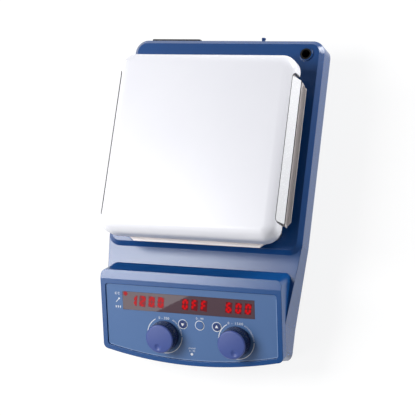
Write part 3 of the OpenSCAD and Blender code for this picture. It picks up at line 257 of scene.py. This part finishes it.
# Black phenolic and nylon mouldings are satin, with the fine texture of a sparked mould.
black_moulding = surface("black_moulded_nylon", "#17181A", "#202124", 0.010, 0.0008, 0.000012,
                         (0.34, 0.48), edge=0.0003)
dress(black_moulding, "button_switches", "board_parts", "inlet_body", "fuse_drawer",
      "power_rocker")
dress(surface("turned_brass", "#C9A24E", "#D8B25C", 0.004, 0.0006, 0.000005, (0.20, 0.32),
              edge=0.0001, plain={"Metallic": 1.0}),
      "board_pillars", "inlet_pins", "probe_pins")
dress(surface("nickel_plated_brass", "#C2C0B8", "#D0CEC8", 0.004, 0.0006, 0.000005,
              (0.18, 0.28), edge=0.0002, plain={"Metallic": 1.0}), "probe_socket")

# Fuse: a clear glass tube with a nickel-plated cap on each end, lying across the drawer. The
# caps cover the outer 5 mm at either end.
fuse_low, fuse_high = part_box("fuse")
fuse_look, tree = blank("fuse_glass_and_caps")
place = add(tree, "TexCoord").outputs["Object"]
along = add(tree, "SeparateXYZ", {0: place}).outputs["X"]
away = add(tree, "Math", {0: along, 1: (fuse_low.x + fuse_high.x)/2}, operation="SUBTRACT")
away = add(tree, "Math", {0: away.outputs[0]}, operation="ABSOLUTE")
cap = add(tree, "Math", {0: away.outputs[0], 1: (fuse_high.x - fuse_low.x)/2 - 0.005},
          operation="GREATER_THAN")
scuff = add(tree, "TexNoise", {"Vector": place, "Scale": 700.0})
dull = add(tree, "MapRange", {"Value": scuff.outputs[0], "To Min": 0.05, "To Max": 0.22})
tint = add(tree, "Mix", {0: cap.outputs[0], 6: linear("#DDE6E6"), 7: linear("#C4C2BA")},
           data_type="RGBA")
shader = add(tree, "BsdfPrincipled", {"Base Color": tint.outputs[2],
                                      "Metallic": cap.outputs[0],
                                      "Roughness": dull.outputs[0]})
add(tree, "OutputMaterial", {"Surface": shader.outputs[0]})
dress(fuse_look, "fuse")


def piece(name, form, look, place=Matrix()):
    """Makes an object of a bmesh. The object stays at the origin, its place is in its mesh."""
    form.transform(place)
    bmesh.ops.recalc_face_normals(form, faces=form.faces)
    mesh = bpy.data.meshes.new(name)
    form.to_mesh(mesh)
    form.free()
    mesh.materials.append(look)
    made = bpy.data.objects.new(name, mesh)
    bpy.context.scene.collection.objects.link(made)
    return made


def bar(form, start, end, width, low, high):
    """A printed stroke from one point to another, in millimetres of its own plane."""
    run = Vector(end) - Vector(start)
    middle = (Vector(start) + Vector(end))/2
    turn = Matrix.Rotation(math.atan2(run.y, run.x), 4, "Z")
    bmesh.ops.create_cube(form, size=1, matrix=Matrix.Translation(
        (middle.x, middle.y, (low + high)/2)) @ turn @ Matrix.Diagonal(
        (run.length, width, high - low, 1)))


def arc(form, centre, radius, width, start, end, low, high):
    """A printed arc or, over a full turn, a ring: a small section spun round its middle."""
    full = end - start >= 360
    begin = Matrix.Rotation(math.radians(start), 4, "Z")
    stand = Matrix.Rotation(math.radians(90), 4, "X")
    section = bmesh.ops.create_grid(
        form, x_segments=1, y_segments=1, size=0.5,
        matrix=Matrix.Translation((centre[0], centre[1], 0)) @ begin
        @ Matrix.Translation((radius, 0, (low + high)/2)) @ stand
        @ Matrix.Diagonal((width, high - low, 1, 1)))["verts"]
    edges = list({e for v in section for e in v.link_edges})
    faces = list({f for v in section for f in v.link_faces})
    if full:
        bmesh.ops.delete(form, geom=faces, context="FACES_ONLY")
        faces = []
    bmesh.ops.spin(form, geom=section + edges + faces, cent=(centre[0], centre[1], 0),
                   axis=(0, 0, 1), dvec=(0, 0, 0), angle=math.radians(end - start),
                   steps=max(2, round((end - start)/6)), use_merge=full)


def spot(form, centre, radius, sides, turn, low, high):
    """A printed dot, or a triangle when it has three sides."""
    bmesh.ops.create_cone(form, cap_ends=True, segments=sides, radius1=radius, radius2=radius,
                          depth=high - low, matrix=Matrix.Translation(
                              (centre[0], centre[1], (low + high)/2))
                          @ Matrix.Rotation(math.radians(turn), 4, "Z"))


# Rocker's marks: a stroke for on and a ring for off, pad-printed in white on the two halves of
# the rocker's face, which is tilted at rest as the switch is off.
white_ink = surface("white_pad_printing_ink", "#F2F4F6", "#E6E9EE", 0.006, 0.0006, 0.000004,
                    (0.36, 0.46))
leftward = Vector((-1, 0, 0))
mark_low, mark_high = -0.03, 0.05
facets = {}
for face in frame["nodes"]["power_rocker"].data.polygons:
    if face.normal.y > 0.9 and face.area > 1e-7:
        facets.setdefault(round(face.normal.z, 2), []).append(face)
facets = sorted(facets.values(), key=lambda faces: -sum(f.area for f in faces))[:2]
facets = [(sum((f.center*f.area for f in faces), Vector())/sum(f.area for f in faces),
           faces[0].normal.copy()) for faces in facets]
upper = max(middle.z for middle, out_of in facets)
for middle, out_of in facets:
    face_place = Matrix.Translation(middle) @ Matrix(
        (leftward, out_of.cross(leftward).normalized(), out_of)).transposed().to_4x4() \
        @ Matrix.Scale(0.001, 4)
    form = bmesh.new()
    if middle.z == upper:
        bar(form, (0, -1.6), (0, 1.6), 0.7, mark_low, mark_high)
        name = "rocker_on_mark"
    else:
        arc(form, (0, 0), 1.5, 0.6, 0, 360, mark_low, mark_high)
        name = "rocker_off_mark"
    mark = piece(name, form, white_ink, face_place)
    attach(mark, "rocker")

# Console: a moulded cover in the same blue as the housing, screwed to it from inside. It holds
# the boards, the set knobs' encoders and the keys.
console_paint = surface("blue_lacquered_abs", "#084988", "#0C4F91", 0.05, 0.002, 0.0000006,
                        (0.245, 0.255), edge=0.0008, plain={"IOR": 1.58})
dress(console_paint, "console")

# Panel's plane: x runs across, y up the slope and z out of it, in millimetres from the middle
# of the line through the two knobs. The knobs' axes give the tilt.
turning = next(j for j in frame["joints"] if j["name"] == "heat_knob_turn")
outward = -Vector(turning["axis"]).normalized()
sideways = Vector((1, 0, 0))
upslope = outward.cross(sideways)
origin = Vector((0, turning["pos_m"][1], turning["pos_m"][2]))
panel = Matrix.Translation(origin) @ Matrix(
    (sideways, upslope, outward)).transposed().to_4x4() @ Matrix.Scale(0.001, 4)
heat_x = turning["pos_m"][0]*1000
speed_x = next(j for j in frame["joints"] if j["name"] == "speed_knob_turn")["pos_m"][0]*1000

# Overlay: a polyester film, printed blue on its back and laid into the console's bed. Its front
# is finely matt, so it shows the softboxes as a soft sheen.
film = surface("printed_polyester_film", "#4F74A8", "#4A6EA1", 0.09, 0.0010, 0.000001,
               (0.40, 0.46), plain={"IOR": 1.55})
dress(film, "overlay")

# Bed's edge: the wall of the overlay's bed has a fine chamfer along the chin and up the right side, 0.6 mm wide,
# which follows the overlay's outline. It is drawn pale as a painted highlight, where the light catches that edge.
chamfer_wide, chamfer_low, chamfer_high, chamfer_fall = 0.6, -0.04, 0.08, 0.05
chamfer_end = 4
light_pipe_line = -17.2
film_form = bmesh.new()
film_form.from_mesh(frame["nodes"]["overlay"].data)
film_form.transform(panel.inverted())
film_ends = [(vert.co.x, vert.co.y) for vert in film_form.verts if vert.co.z > -0.05]
film_form.free()
right_end = max(x for x, y in film_ends)
top_end = max(y for x, y in film_ends)
corner_line = min(y for x, y in film_ends if x > right_end - 3)
chin = sorted((x, y) for x, y in film_ends
              if y < corner_line + 0.1 and math.hypot(x, y - light_pipe_line) > 3)
rise = sorted(((x, y) for x, y in film_ends if x > right_end - 3 and corner_line + 0.1 < y < 0),
              key=lambda end: end[1])
route = [Vector(end) for end in chin + rise + [(right_end, top_end - chamfer_end)]]
chamfer = bmesh.new()
rows = []
for i, outer in enumerate(route):
    run = (route[min(i + 1, len(route) - 1)] - route[max(i - 1, 0)]).normalized()
    inner = outer + Vector((-run.y, run.x))*chamfer_wide
    rows.append([chamfer.verts.new((*end, z)) for end, z in (
        (outer, chamfer_low), (outer, chamfer_high), (inner, chamfer_high - chamfer_fall),
        (inner, chamfer_low))])
for row, next_row in zip(rows, rows[1:]):
    for i in range(4):
        chamfer.faces.new((row[i], row[(i + 1) % 4], next_row[(i + 1) % 4], next_row[i]))
chamfer.faces.new(rows[0])
chamfer.faces.new(reversed(rows[-1]))
# The chamfer is drawn a paler blue than the panel, as a painted highlight, with the same satin skin.
painted_highlight_lacquer = surface("blue_lacquer_painted_highlight", "#86A3CE", "#7E9CC8", 0.02, 0.002,
                         0.0000006, (0.30, 0.32))
bed_edge = piece("overlay_bed_edge_painted_highlight", chamfer, painted_highlight_lacquer, panel)
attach(bed_edge, "base")

# Display: a window of smoked acrylic, flush with the overlay, and three modules of slanted
# seven-segment figures behind it. It is drawn opaque, as dark as it looks when lit from outside,
# so the lit strokes, the glow round them and a dim field lie on it as three thin layers.
smoked = surface("smoked_acrylic", "#5E4A52", "#58454D", 0.05, 0.004, 0.0000005, (0.012, 0.02),
                 plain={"IOR": 1.49})
dress(smoked, "display_window")
dress(surface("red_moulded_epoxy", "#3A0C10", "#45090E", 0.01, 0.001, 0.00001, (0.2, 0.3)),
      "led_modules")
figure_high = 10.4
figure_wide = 5.7
figure_lean = math.tan(math.radians(7))
figure_line = 32.9
stroke_wide = 2.1
glow_wide = 0.45
lit_layer, stroke_layer, glow_layer, field_layer = (-0.1, 0.05), (-0.12, 0.03), (-0.12, 0.02), \
    (-0.14, 0.005)
heating_light = (-68.4, 39.6)
strokes = {"A": ((-1, 1), (1, 1)), "B": ((1, 1), (1, 0)), "C": ((1, 0), (1, -1)),
           "D": ((-1, -1), (1, -1)), "E": ((-1, 0), (-1, -1)), "F": ((-1, 1), (-1, 0)),
           "G": ((-1, 0), (1, 0))}
figures = {"0": "ABCDEF", "1": "BC", "2": "ABGED", "6": "AFGECD", "F": "AFGE", "O": "ABCDEF"}


def lit_strokes(form, sign, x, grow, low, high):
    """The lit strokes of one figure: long six-sided bars, grown a little for the glow."""
    wide = figure_wide/2 - stroke_wide/2
    tall = figure_high/2 - stroke_wide/2
    for letter in figures[sign]:
        (x0, y0), (x1, y1) = strokes[letter]
        start, end = Vector((x0*wide, y0*tall)), Vector((x1*wide, y1*tall))
        run = (end - start).normalized()
        side = Vector((-run.y, run.x))*(stroke_wide/2 + grow)
        tip = stroke_wide/2 + grow
        gap = 0.22 - grow
        ring = [start + run*gap, start + run*(gap + tip) + side, end - run*(gap + tip) + side,
                end - run*gap, end - run*(gap + tip) - side, start + run*(gap + tip) - side]
        corners = [form.verts.new((x + p.x + figure_lean*p.y, figure_line + p.y, low))
                   for p in ring]
        face = form.faces.new(corners)
        raised = bmesh.ops.extrude_face_region(form, geom=[face])["geom"]
        bmesh.ops.translate(form, vec=(0, 0, high - low),
                            verts=[v for v in raised if isinstance(v, bmesh.types.BMVert)])


def lit(name, core, rim, strength, index=1.49):
    """Lit red behind the window: brighter and dimmer grains of light, under a clear gloss."""
    look, tree = blank(name)
    place = add(tree, "TexCoord").outputs["Object"]
    grains = add(tree, "TexNoise", {"Vector": place, "Scale": 450.0, "Detail": 1.0})
    tint = add(tree, "Mix", {0: grains.outputs[0], 6: linear(core), 7: linear(rim)},
               data_type="RGBA")
    shader = add(tree, "BsdfPrincipled",
                 {"Base Color": linear("#200406"), "Roughness": 0.05, "IOR": index,
                  "Emission Color": tint.outputs[2], "Emission Strength": strength})
    add(tree, "OutputMaterial", {"Surface": shader.outputs[0]})
    return look


# The figures are a clear red. In the left part of the window, where a softbox shows in the acrylic, the
# temperature figures are drawn paler and their glow and field brighter than elsewhere: a painted reflection of the
# softbox, put into their lit colours.
lit_red = lit("lit_red_figures", "#D8141A", "#CC1016", 0.92, 1.3)
dim_red = lit("lit_red_figures_painted_reflection", "#C8282E", "#BC242A", 0.92, 1.15)
red_glow = lit("red_glow_behind_window", "#96181E", "#8A141A", 0.95, 1.3)
glow_painted_reflection = lit("red_glow_painted_reflection", "#A83238", "#9E2E34", 0.95, 1.15)
dim_field = lit("dim_red_field", "#6E242A", "#682026", 0.9, 1.3)
field_painted_reflection = lit("red_field_painted_reflection", "#8C3C42", "#86383E", 0.95, 1.15)
for name, sign_row, first, pitch, look, haze_look, field_look in (
        ("temperature_figures", "1200", -60.0, 9.75, dim_red, glow_painted_reflection, field_painted_reflection),
        ("timer_figures", "OFF", -5.0, 9.8, lit_red, red_glow, dim_field),
        ("speed_figures", "600", 40.4, 9.9, lit_red, red_glow, dim_field)):
    form, haze, field = bmesh.new(), bmesh.new(), bmesh.new()
    for i, sign in enumerate(sign_row):
        lit_strokes(form, sign, first + i*pitch, 0, *lit_layer)
        lit_strokes(haze, sign, first + i*pitch, glow_wide, *glow_layer)
        lean, half = figure_lean*figure_high/2, figure_high/2
        if sign == "1":
            x = first + i*pitch + figure_wide/2
            bar(haze, (x - lean, figure_line - half), (x + lean, figure_line + half),
                stroke_wide, *stroke_layer)
        else:
            x = first + i*pitch
            bar(field, (x - lean, figure_line - half - 0.3), (x + lean, figure_line + half + 0.3),
                figure_wide + 1.2, *field_layer)
    if name == "temperature_figures":
        spot(form, (first + 2.5*pitch - 0.6, figure_line - figure_high/2 + 0.7), 0.7, 12, 0,
             *lit_layer)
        spot(form, heating_light, 0.9, 12, 0, *lit_layer)
        spot(haze, heating_light, 2.3, 16, 0, *glow_layer)
    shown = piece(name, form, look, panel)
    glow_piece = piece(name + "_glow", haze, haze_look, panel)
    field_piece = piece(name + "_field", field, field_look, panel)
    for each in (shown, glow_piece, field_piece):
        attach(each, "base")

# Keys: three caps that stand in holes of the overlay, over tactile switches on the board. The
# outer two carry a dark disc with an arrow, printed under a clear coat.
key_cap = surface("blue_moulded_abs", "#4A6FA6", "#4468A0", 0.02, 0.0008, 0.000002,
                  (0.30, 0.38), edge=0.0003)
dress(key_cap, "down_button", "mode_button", "up_button")
dark_ink = surface("dark_blue_ink", "#20366E", "#263D78", 0.004, 0.0006, 0.000003,
                   (0.30, 0.36))
for node, body, turn in (("down_button", "down_key", 180), ("up_button", "up_key", 0)):
    middle = panel.inverted() @ (sum(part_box(node), Vector())/2)
    face = 0.7
    disc = bmesh.new()
    spot(disc, (middle.x, middle.y), 3.85, 48, 0, face - 0.05, face + 0.03)
    disc = piece(node + "_disc", disc, dark_ink, panel)
    arrow = bmesh.new()
    spot(arrow, (middle.x, middle.y), 2.0, 3, turn, face, face + 0.07)
    arrow = piece(node + "_arrow", arrow, white_ink, panel)
    for each in (disc, arrow):
        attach(each, body)

# Knobs: violet-blue ABS with a satin face, a fine edge and a dimple for a finger, pushed onto
# the encoders' shafts. The face is crowned very slightly, to a radius of 0.16 m about the middle
# of each knob, so it catches light on one side.
crown = 0.16
knob_look, tree = blank("violet_blue_moulded_abs")
place = add(tree, "TexCoord").outputs["Object"]
apart = add(tree, "VectorMath", {0: place, 1: tuple(origin)}, operation="SUBTRACT")
along = add(tree, "VectorMath", {0: apart.outputs[0], 1: tuple(upslope)},
            operation="DOT_PRODUCT")
beside = add(tree, "SeparateXYZ", {0: apart.outputs[0]}).outputs["X"]
beside = add(tree, "Math", {0: beside, 1: (heat_x + speed_x)/2000}, operation="SUBTRACT")
beside = add(tree, "Math", {0: beside.outputs[0]}, operation="ABSOLUTE")
beside = add(tree, "Math", {0: beside.outputs[0], 1: (speed_x - heat_x)/2000},
             operation="SUBTRACT")
reach = add(tree, "CombineXYZ", {0: beside.outputs[0], 1: along.outputs["Value"]})
square = add(tree, "VectorMath", {0: reach.outputs[0], 1: reach.outputs[0]},
             operation="DOT_PRODUCT")
fall = add(tree, "Math", {0: square.outputs["Value"], 1: -1/(2*crown)}, operation="MULTIPLY")
cloud = add(tree, "TexNoise", {"Vector": place, "Scale": 50.0, "Detail": 3.0})
grain = add(tree, "TexNoise", {"Vector": place, "Scale": 1100.0, "Detail": 2.0})
tint = add(tree, "Mix", {0: cloud.outputs[0], 6: linear("#485CA0"), 7: linear("#43569A")},
           data_type="RGBA")
dull = add(tree, "MapRange", {"Value": grain.outputs[0], "To Min": 0.32, "To Max": 0.38})
worn = add(tree, "Bevel", {"Radius": 0.0013}, samples=8)
crowned = add(tree, "Bump", {"Height": fall.outputs[0], "Strength": 1.0, "Distance": 1.0,
                             "Normal": worn.outputs[0]})
shader = add(tree, "BsdfPrincipled", {"Base Color": tint.outputs[2], "IOR": 1.56,
                                      "Roughness": dull.outputs[0],
                                      "Normal": crowned.outputs[0]})
add(tree, "OutputMaterial", {"Surface": shader.outputs[0]})
dress(knob_look, "heat_knob", "speed_knob")

# Knob skirts: a dark blue collar of gloss ABS round each knob, flared a little towards the panel. It is painted
# shade: its dark colour and its flare stand in for the knob's shaded side and the shadow it casts on the panel.
# Every fourth step of its side is a shallow flute.
skirt_steps, flute_every, flute_deep = 144, 4, 0.22
skirt_painted_shade_look = surface("dark_blue_abs_painted_shade", "#101E4C", "#142354", 0.02, 0.0009, 0.0000015,
                     (0.14, 0.18), edge=0.0003, plain={"IOR": 1.50})
for label, body, x in (("heat", "heat_control", heat_x), ("speed", "speed_control", speed_x)):
    skirt = bmesh.new()
    section = [skirt.verts.new((out, 0, rise)) for out, rise in (
        (14.34, 0.95), (15.0, 0.95), (15.1, 1.4), (15.0, 3.0), (14.85, 6.0), (14.7, 9.0),
        (14.6, 12.0), (14.5, 12.9), (14.34, 13.0))]
    edges = [skirt.edges.new(pair) for pair in zip(section, section[1:] + section[:1])]
    bmesh.ops.spin(skirt, geom=section + edges, cent=(0, 0, 0), axis=(0, 0, 1),
                   dvec=(0, 0, 0), angle=math.tau, steps=skirt_steps, use_merge=True)
    for vert in skirt.verts:
        flat = vert.co.to_2d()
        turn = round(math.atan2(flat.y, flat.x)*skirt_steps/math.tau)
        if flat.length > 14.5 and 3 < vert.co.z < 12.5 and turn % flute_every == 0:
            vert.co.xy = flat*(1 - flute_deep/flat.length)
    bmesh.ops.translate(skirt, verts=skirt.verts, vec=(x, 0, 0))
    skirt = piece(label + "_knob_skirt_painted_shade", skirt, skirt_painted_shade_look, panel)
    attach(skirt, body)

# Indicator: a small light pipe of milky acrylic that is pressed into the overlay from behind.
# It is near white, and glossy where it stands through the film.
dress(surface("milky_acrylic", "#F6F8FC", "#E8ECF4", 0.003, 0.0006, 0.000003, (0.12, 0.2)),
      "indicator")

# Print on the overlay: rings and ticks round the knobs, a ring round each key, plain figures
# for the two ranges and three small signs beside the window, screen-printed in white.
print_low, print_high = -0.04, 0.04


def words(form, text, size, centre, apart=1.0):
    """Printed figures: a text curve made a mesh and set on its place."""
    curve = bpy.data.curves.new(text, "FONT")
    curve.body = text
    curve.size = size
    curve.extrude = (print_high - print_low)/2
    curve.space_character = apart
    curve.align_x = "CENTER"
    curve.align_y = "CENTER"
    curve.resolution_u = 3
    holder = bpy.data.objects.new(text, curve)
    bpy.context.scene.collection.objects.link(holder)
    bpy.context.view_layer.update()
    mesh = bpy.data.meshes.new_from_object(
        holder.evaluated_get(bpy.context.evaluated_depsgraph_get()))
    mesh.transform(Matrix.Translation((centre[0], centre[1], (print_low + print_high)/2)))
    form.from_mesh(mesh)
    bpy.data.objects.remove(holder)
    bpy.data.curves.remove(curve)
    bpy.data.meshes.remove(mesh)


print_form = bmesh.new()
ring_radius = 18.3
for x in (heat_x, speed_x):
    arc(print_form, (x, 0), ring_radius, 0.75, 120, 358, print_low, print_high)
    for i in range(16):
        angle = math.radians(4 + i*3.7)
        inner, outer = ring_radius - 0.8, ring_radius + 0.3 + 0.04*i
        bar(print_form, (x + inner*math.cos(angle), inner*math.sin(angle)),
            (x + outer*math.cos(angle), outer*math.sin(angle)), 0.32, print_low, print_high)
keys = [panel.inverted() @ (sum(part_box(n), Vector())/2)
        for n in ("down_button", "mode_button", "up_button")]
for key in keys:
    arc(print_form, (key.x, key.y), 4.62, 0.6, 0, 360, print_low, print_high)
words(print_form, "0 - 350", 3.6, (heat_x - 0.2, 17.2), 1.1)
words(print_form, "0 - 1500", 3.6, (speed_x - 0.4, 17.4), 1.3)
words(print_form, "0 - 99", 3.2, (keys[1].x + 0.3, 19.5), 1.05)
words(print_form, "ON/OFF", 2.1, (0.4, -11.3), 1.0)
words(print_form, "0 - 99", 2.3, (0.4, -14.0), 1.1)
arc(print_form, (-78.6, 39.4), 1.0, 0.45, 50, 310, print_low, print_high)
arc(print_form, (-75.6, 39.4), 1.0, 0.45, 50, 310, print_low, print_high)
bar(print_form, (-79.0, 30.4), (-75.8, 33.8), 0.6, print_low, print_high)
spot(print_form, (-75.6, 34.2), 0.9, 16, 0, print_low, print_high)
for i in range(3):
    bar(print_form, (-79.2 + 2.3*i, 24.6), (-79.2 + 2.3*i, 26.8), 0.9, print_low, print_high)
panel_print = piece("panel_print", print_form, white_ink, panel)
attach(panel_print, "base")

# Cable peg: a short peg of dark blue nylon above the rear edge, which holds the probe's cable.
# It is moulded with a satin skin and pressed into the housing.
dress(surface("blue_moulded_polyamide", "#123A70", "#15407A", 0.01, 0.0008, 0.000008,
              (0.30, 0.40), edge=0.0004), "cable_peg")

# Hot plate: an aluminium heater plate and its insulating pad in a white sheet carrier, on four
# standoffs above a stainless heat shield, under the white glazed top. Each is held by screws.
# Milled aluminium is a pale grey metal with tool marks across it, drawn 1 mm apart.
dress(surface("milled_aluminium", "#B8BABE", "#C6C8CC", 0.03, 0.0010, 0.000008, (0.32, 0.44),
              edge=0.0004, stretch=(0.1, 1, 1), plain={"Metallic": 1.0}), "heater_plate")
# Pressed mineral wool is off-white and rough, with fibres some 1 mm wide and 6 mm long.
dress(surface("pressed_mineral_wool", "#D6D0BE", "#C4BDA8", 0.008, 0.0010, 0.00025,
              (0.86, 0.96), stretch=(0.16, 1, 1)), "insulation_pad")
# Stainless sheet is brushed along its length; the lines are drawn 1 mm wide.
dress(surface("brushed_stainless_sheet", "#E0DAD9", "#E9E4E2", 0.03, 0.0010, 0.000001,
              (0.42, 0.50), edge=0.0003, stretch=(1, 0.05, 1), plain={"Metallic": 1.0}),
      "heat_shield")
# Enamel on thin sheet is near white with an even gloss.
dress(surface("white_enamelled_sheet", "#FAFAFC", "#F4F5F8", 0.03, 0.0015, 0.000002,
              (0.26, 0.28), edge=0.0004), "plate_carrier")

# Top plate: a pressed pan with a rolled edge and a notch in each side skirt, fired with a white
# ceramic glaze that is glossy, faintly blue and gathers a little at the edges.
glaze = surface("white_ceramic_glaze", "#F6F6FB", "#F1F1F7", 0.05, 0.003, 0.000003,
                (0.25, 0.265), edge=0.0012, plain={"IOR": 1.52})
dress(glaze, "plate_pan")

# Dark edges: a fine dark line, drawn 0.8 mm wide, round each notch and along the foot of each flap. It is painted
# shade, which stands for the shadow in the narrow gaps between the pan, the flaps and the shield.
painted_shadow_line_look = surface("black_painted_shadow_line", "#1B1A1E", "#242228", 0.01, 0.0008, 0.000004,
                      (0.35, 0.45))
pan_low, pan_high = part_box("plate_pan")
carrier_low, carrier_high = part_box("plate_carrier")
pan_middle = (pan_low + pan_high)/2
roll = 0.0112
notch_half, notch_depth, notch_corner, corner_steps = 0.074, 0.0045, 0.005, 8
flap_half = notch_half - 0.0026
inset = 0.0005
corner = notch_corner - inset
outline = [(-notch_half + inset, pan_low.z + 0.001)]
for i in range(corner_steps + 1):
    angle = math.radians(180 - i*90/corner_steps)
    outline.append((-notch_half + notch_corner + corner*math.cos(angle),
                    pan_high.z - notch_depth - notch_corner + corner*math.sin(angle)))
outline += [(-y, z) for y, z in reversed(outline)]
for side, label, sunk, thick in ((1, "right", 0.0005, 0.0005), (-1, "left", 0, 0.0007)):
    line = []
    for y, z in outline:
        rise = max(0.0, z - (pan_high.z - roll))/roll
        x = pan_high.x - pan_middle.x - roll + roll*math.sqrt(1 - rise*rise) - sunk
        line.append((pan_middle.x + side*x, pan_middle.y + y, z))
    foot = carrier_high.x - pan_middle.x
    foot_line = [(pan_middle.x + side*(foot - 0.0001), pan_middle.y + y, carrier_low.z + 0.0003)
                 for y in (-flap_half, flap_half)]
    for name, points in (("notch_shadow_line_", line), ("flap_foot_shadow_line_", foot_line)):
        curve = bpy.data.curves.new(name + label, "CURVE")
        curve.dimensions = "3D"
        curve.bevel_depth = thick
        curve.bevel_resolution = 1
        curve.use_fill_caps = True
        spline = curve.splines.new("POLY")
        spline.points.add(len(points) - 1)
        for point, place in zip(spline.points, points):
            point.co = (*place, 1)
        holder = bpy.data.objects.new(name + label, curve)
        bpy.context.scene.collection.objects.link(holder)
        bpy.context.view_layer.update()
        form = bmesh.new()
        form.from_mesh(bpy.data.meshes.new_from_object(
            holder.evaluated_get(bpy.context.evaluated_depsgraph_get())))
        bpy.data.objects.remove(holder)
        shadow_line_piece = piece(name + label, form, painted_shadow_line_look)
        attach(shadow_line_piece, "base")
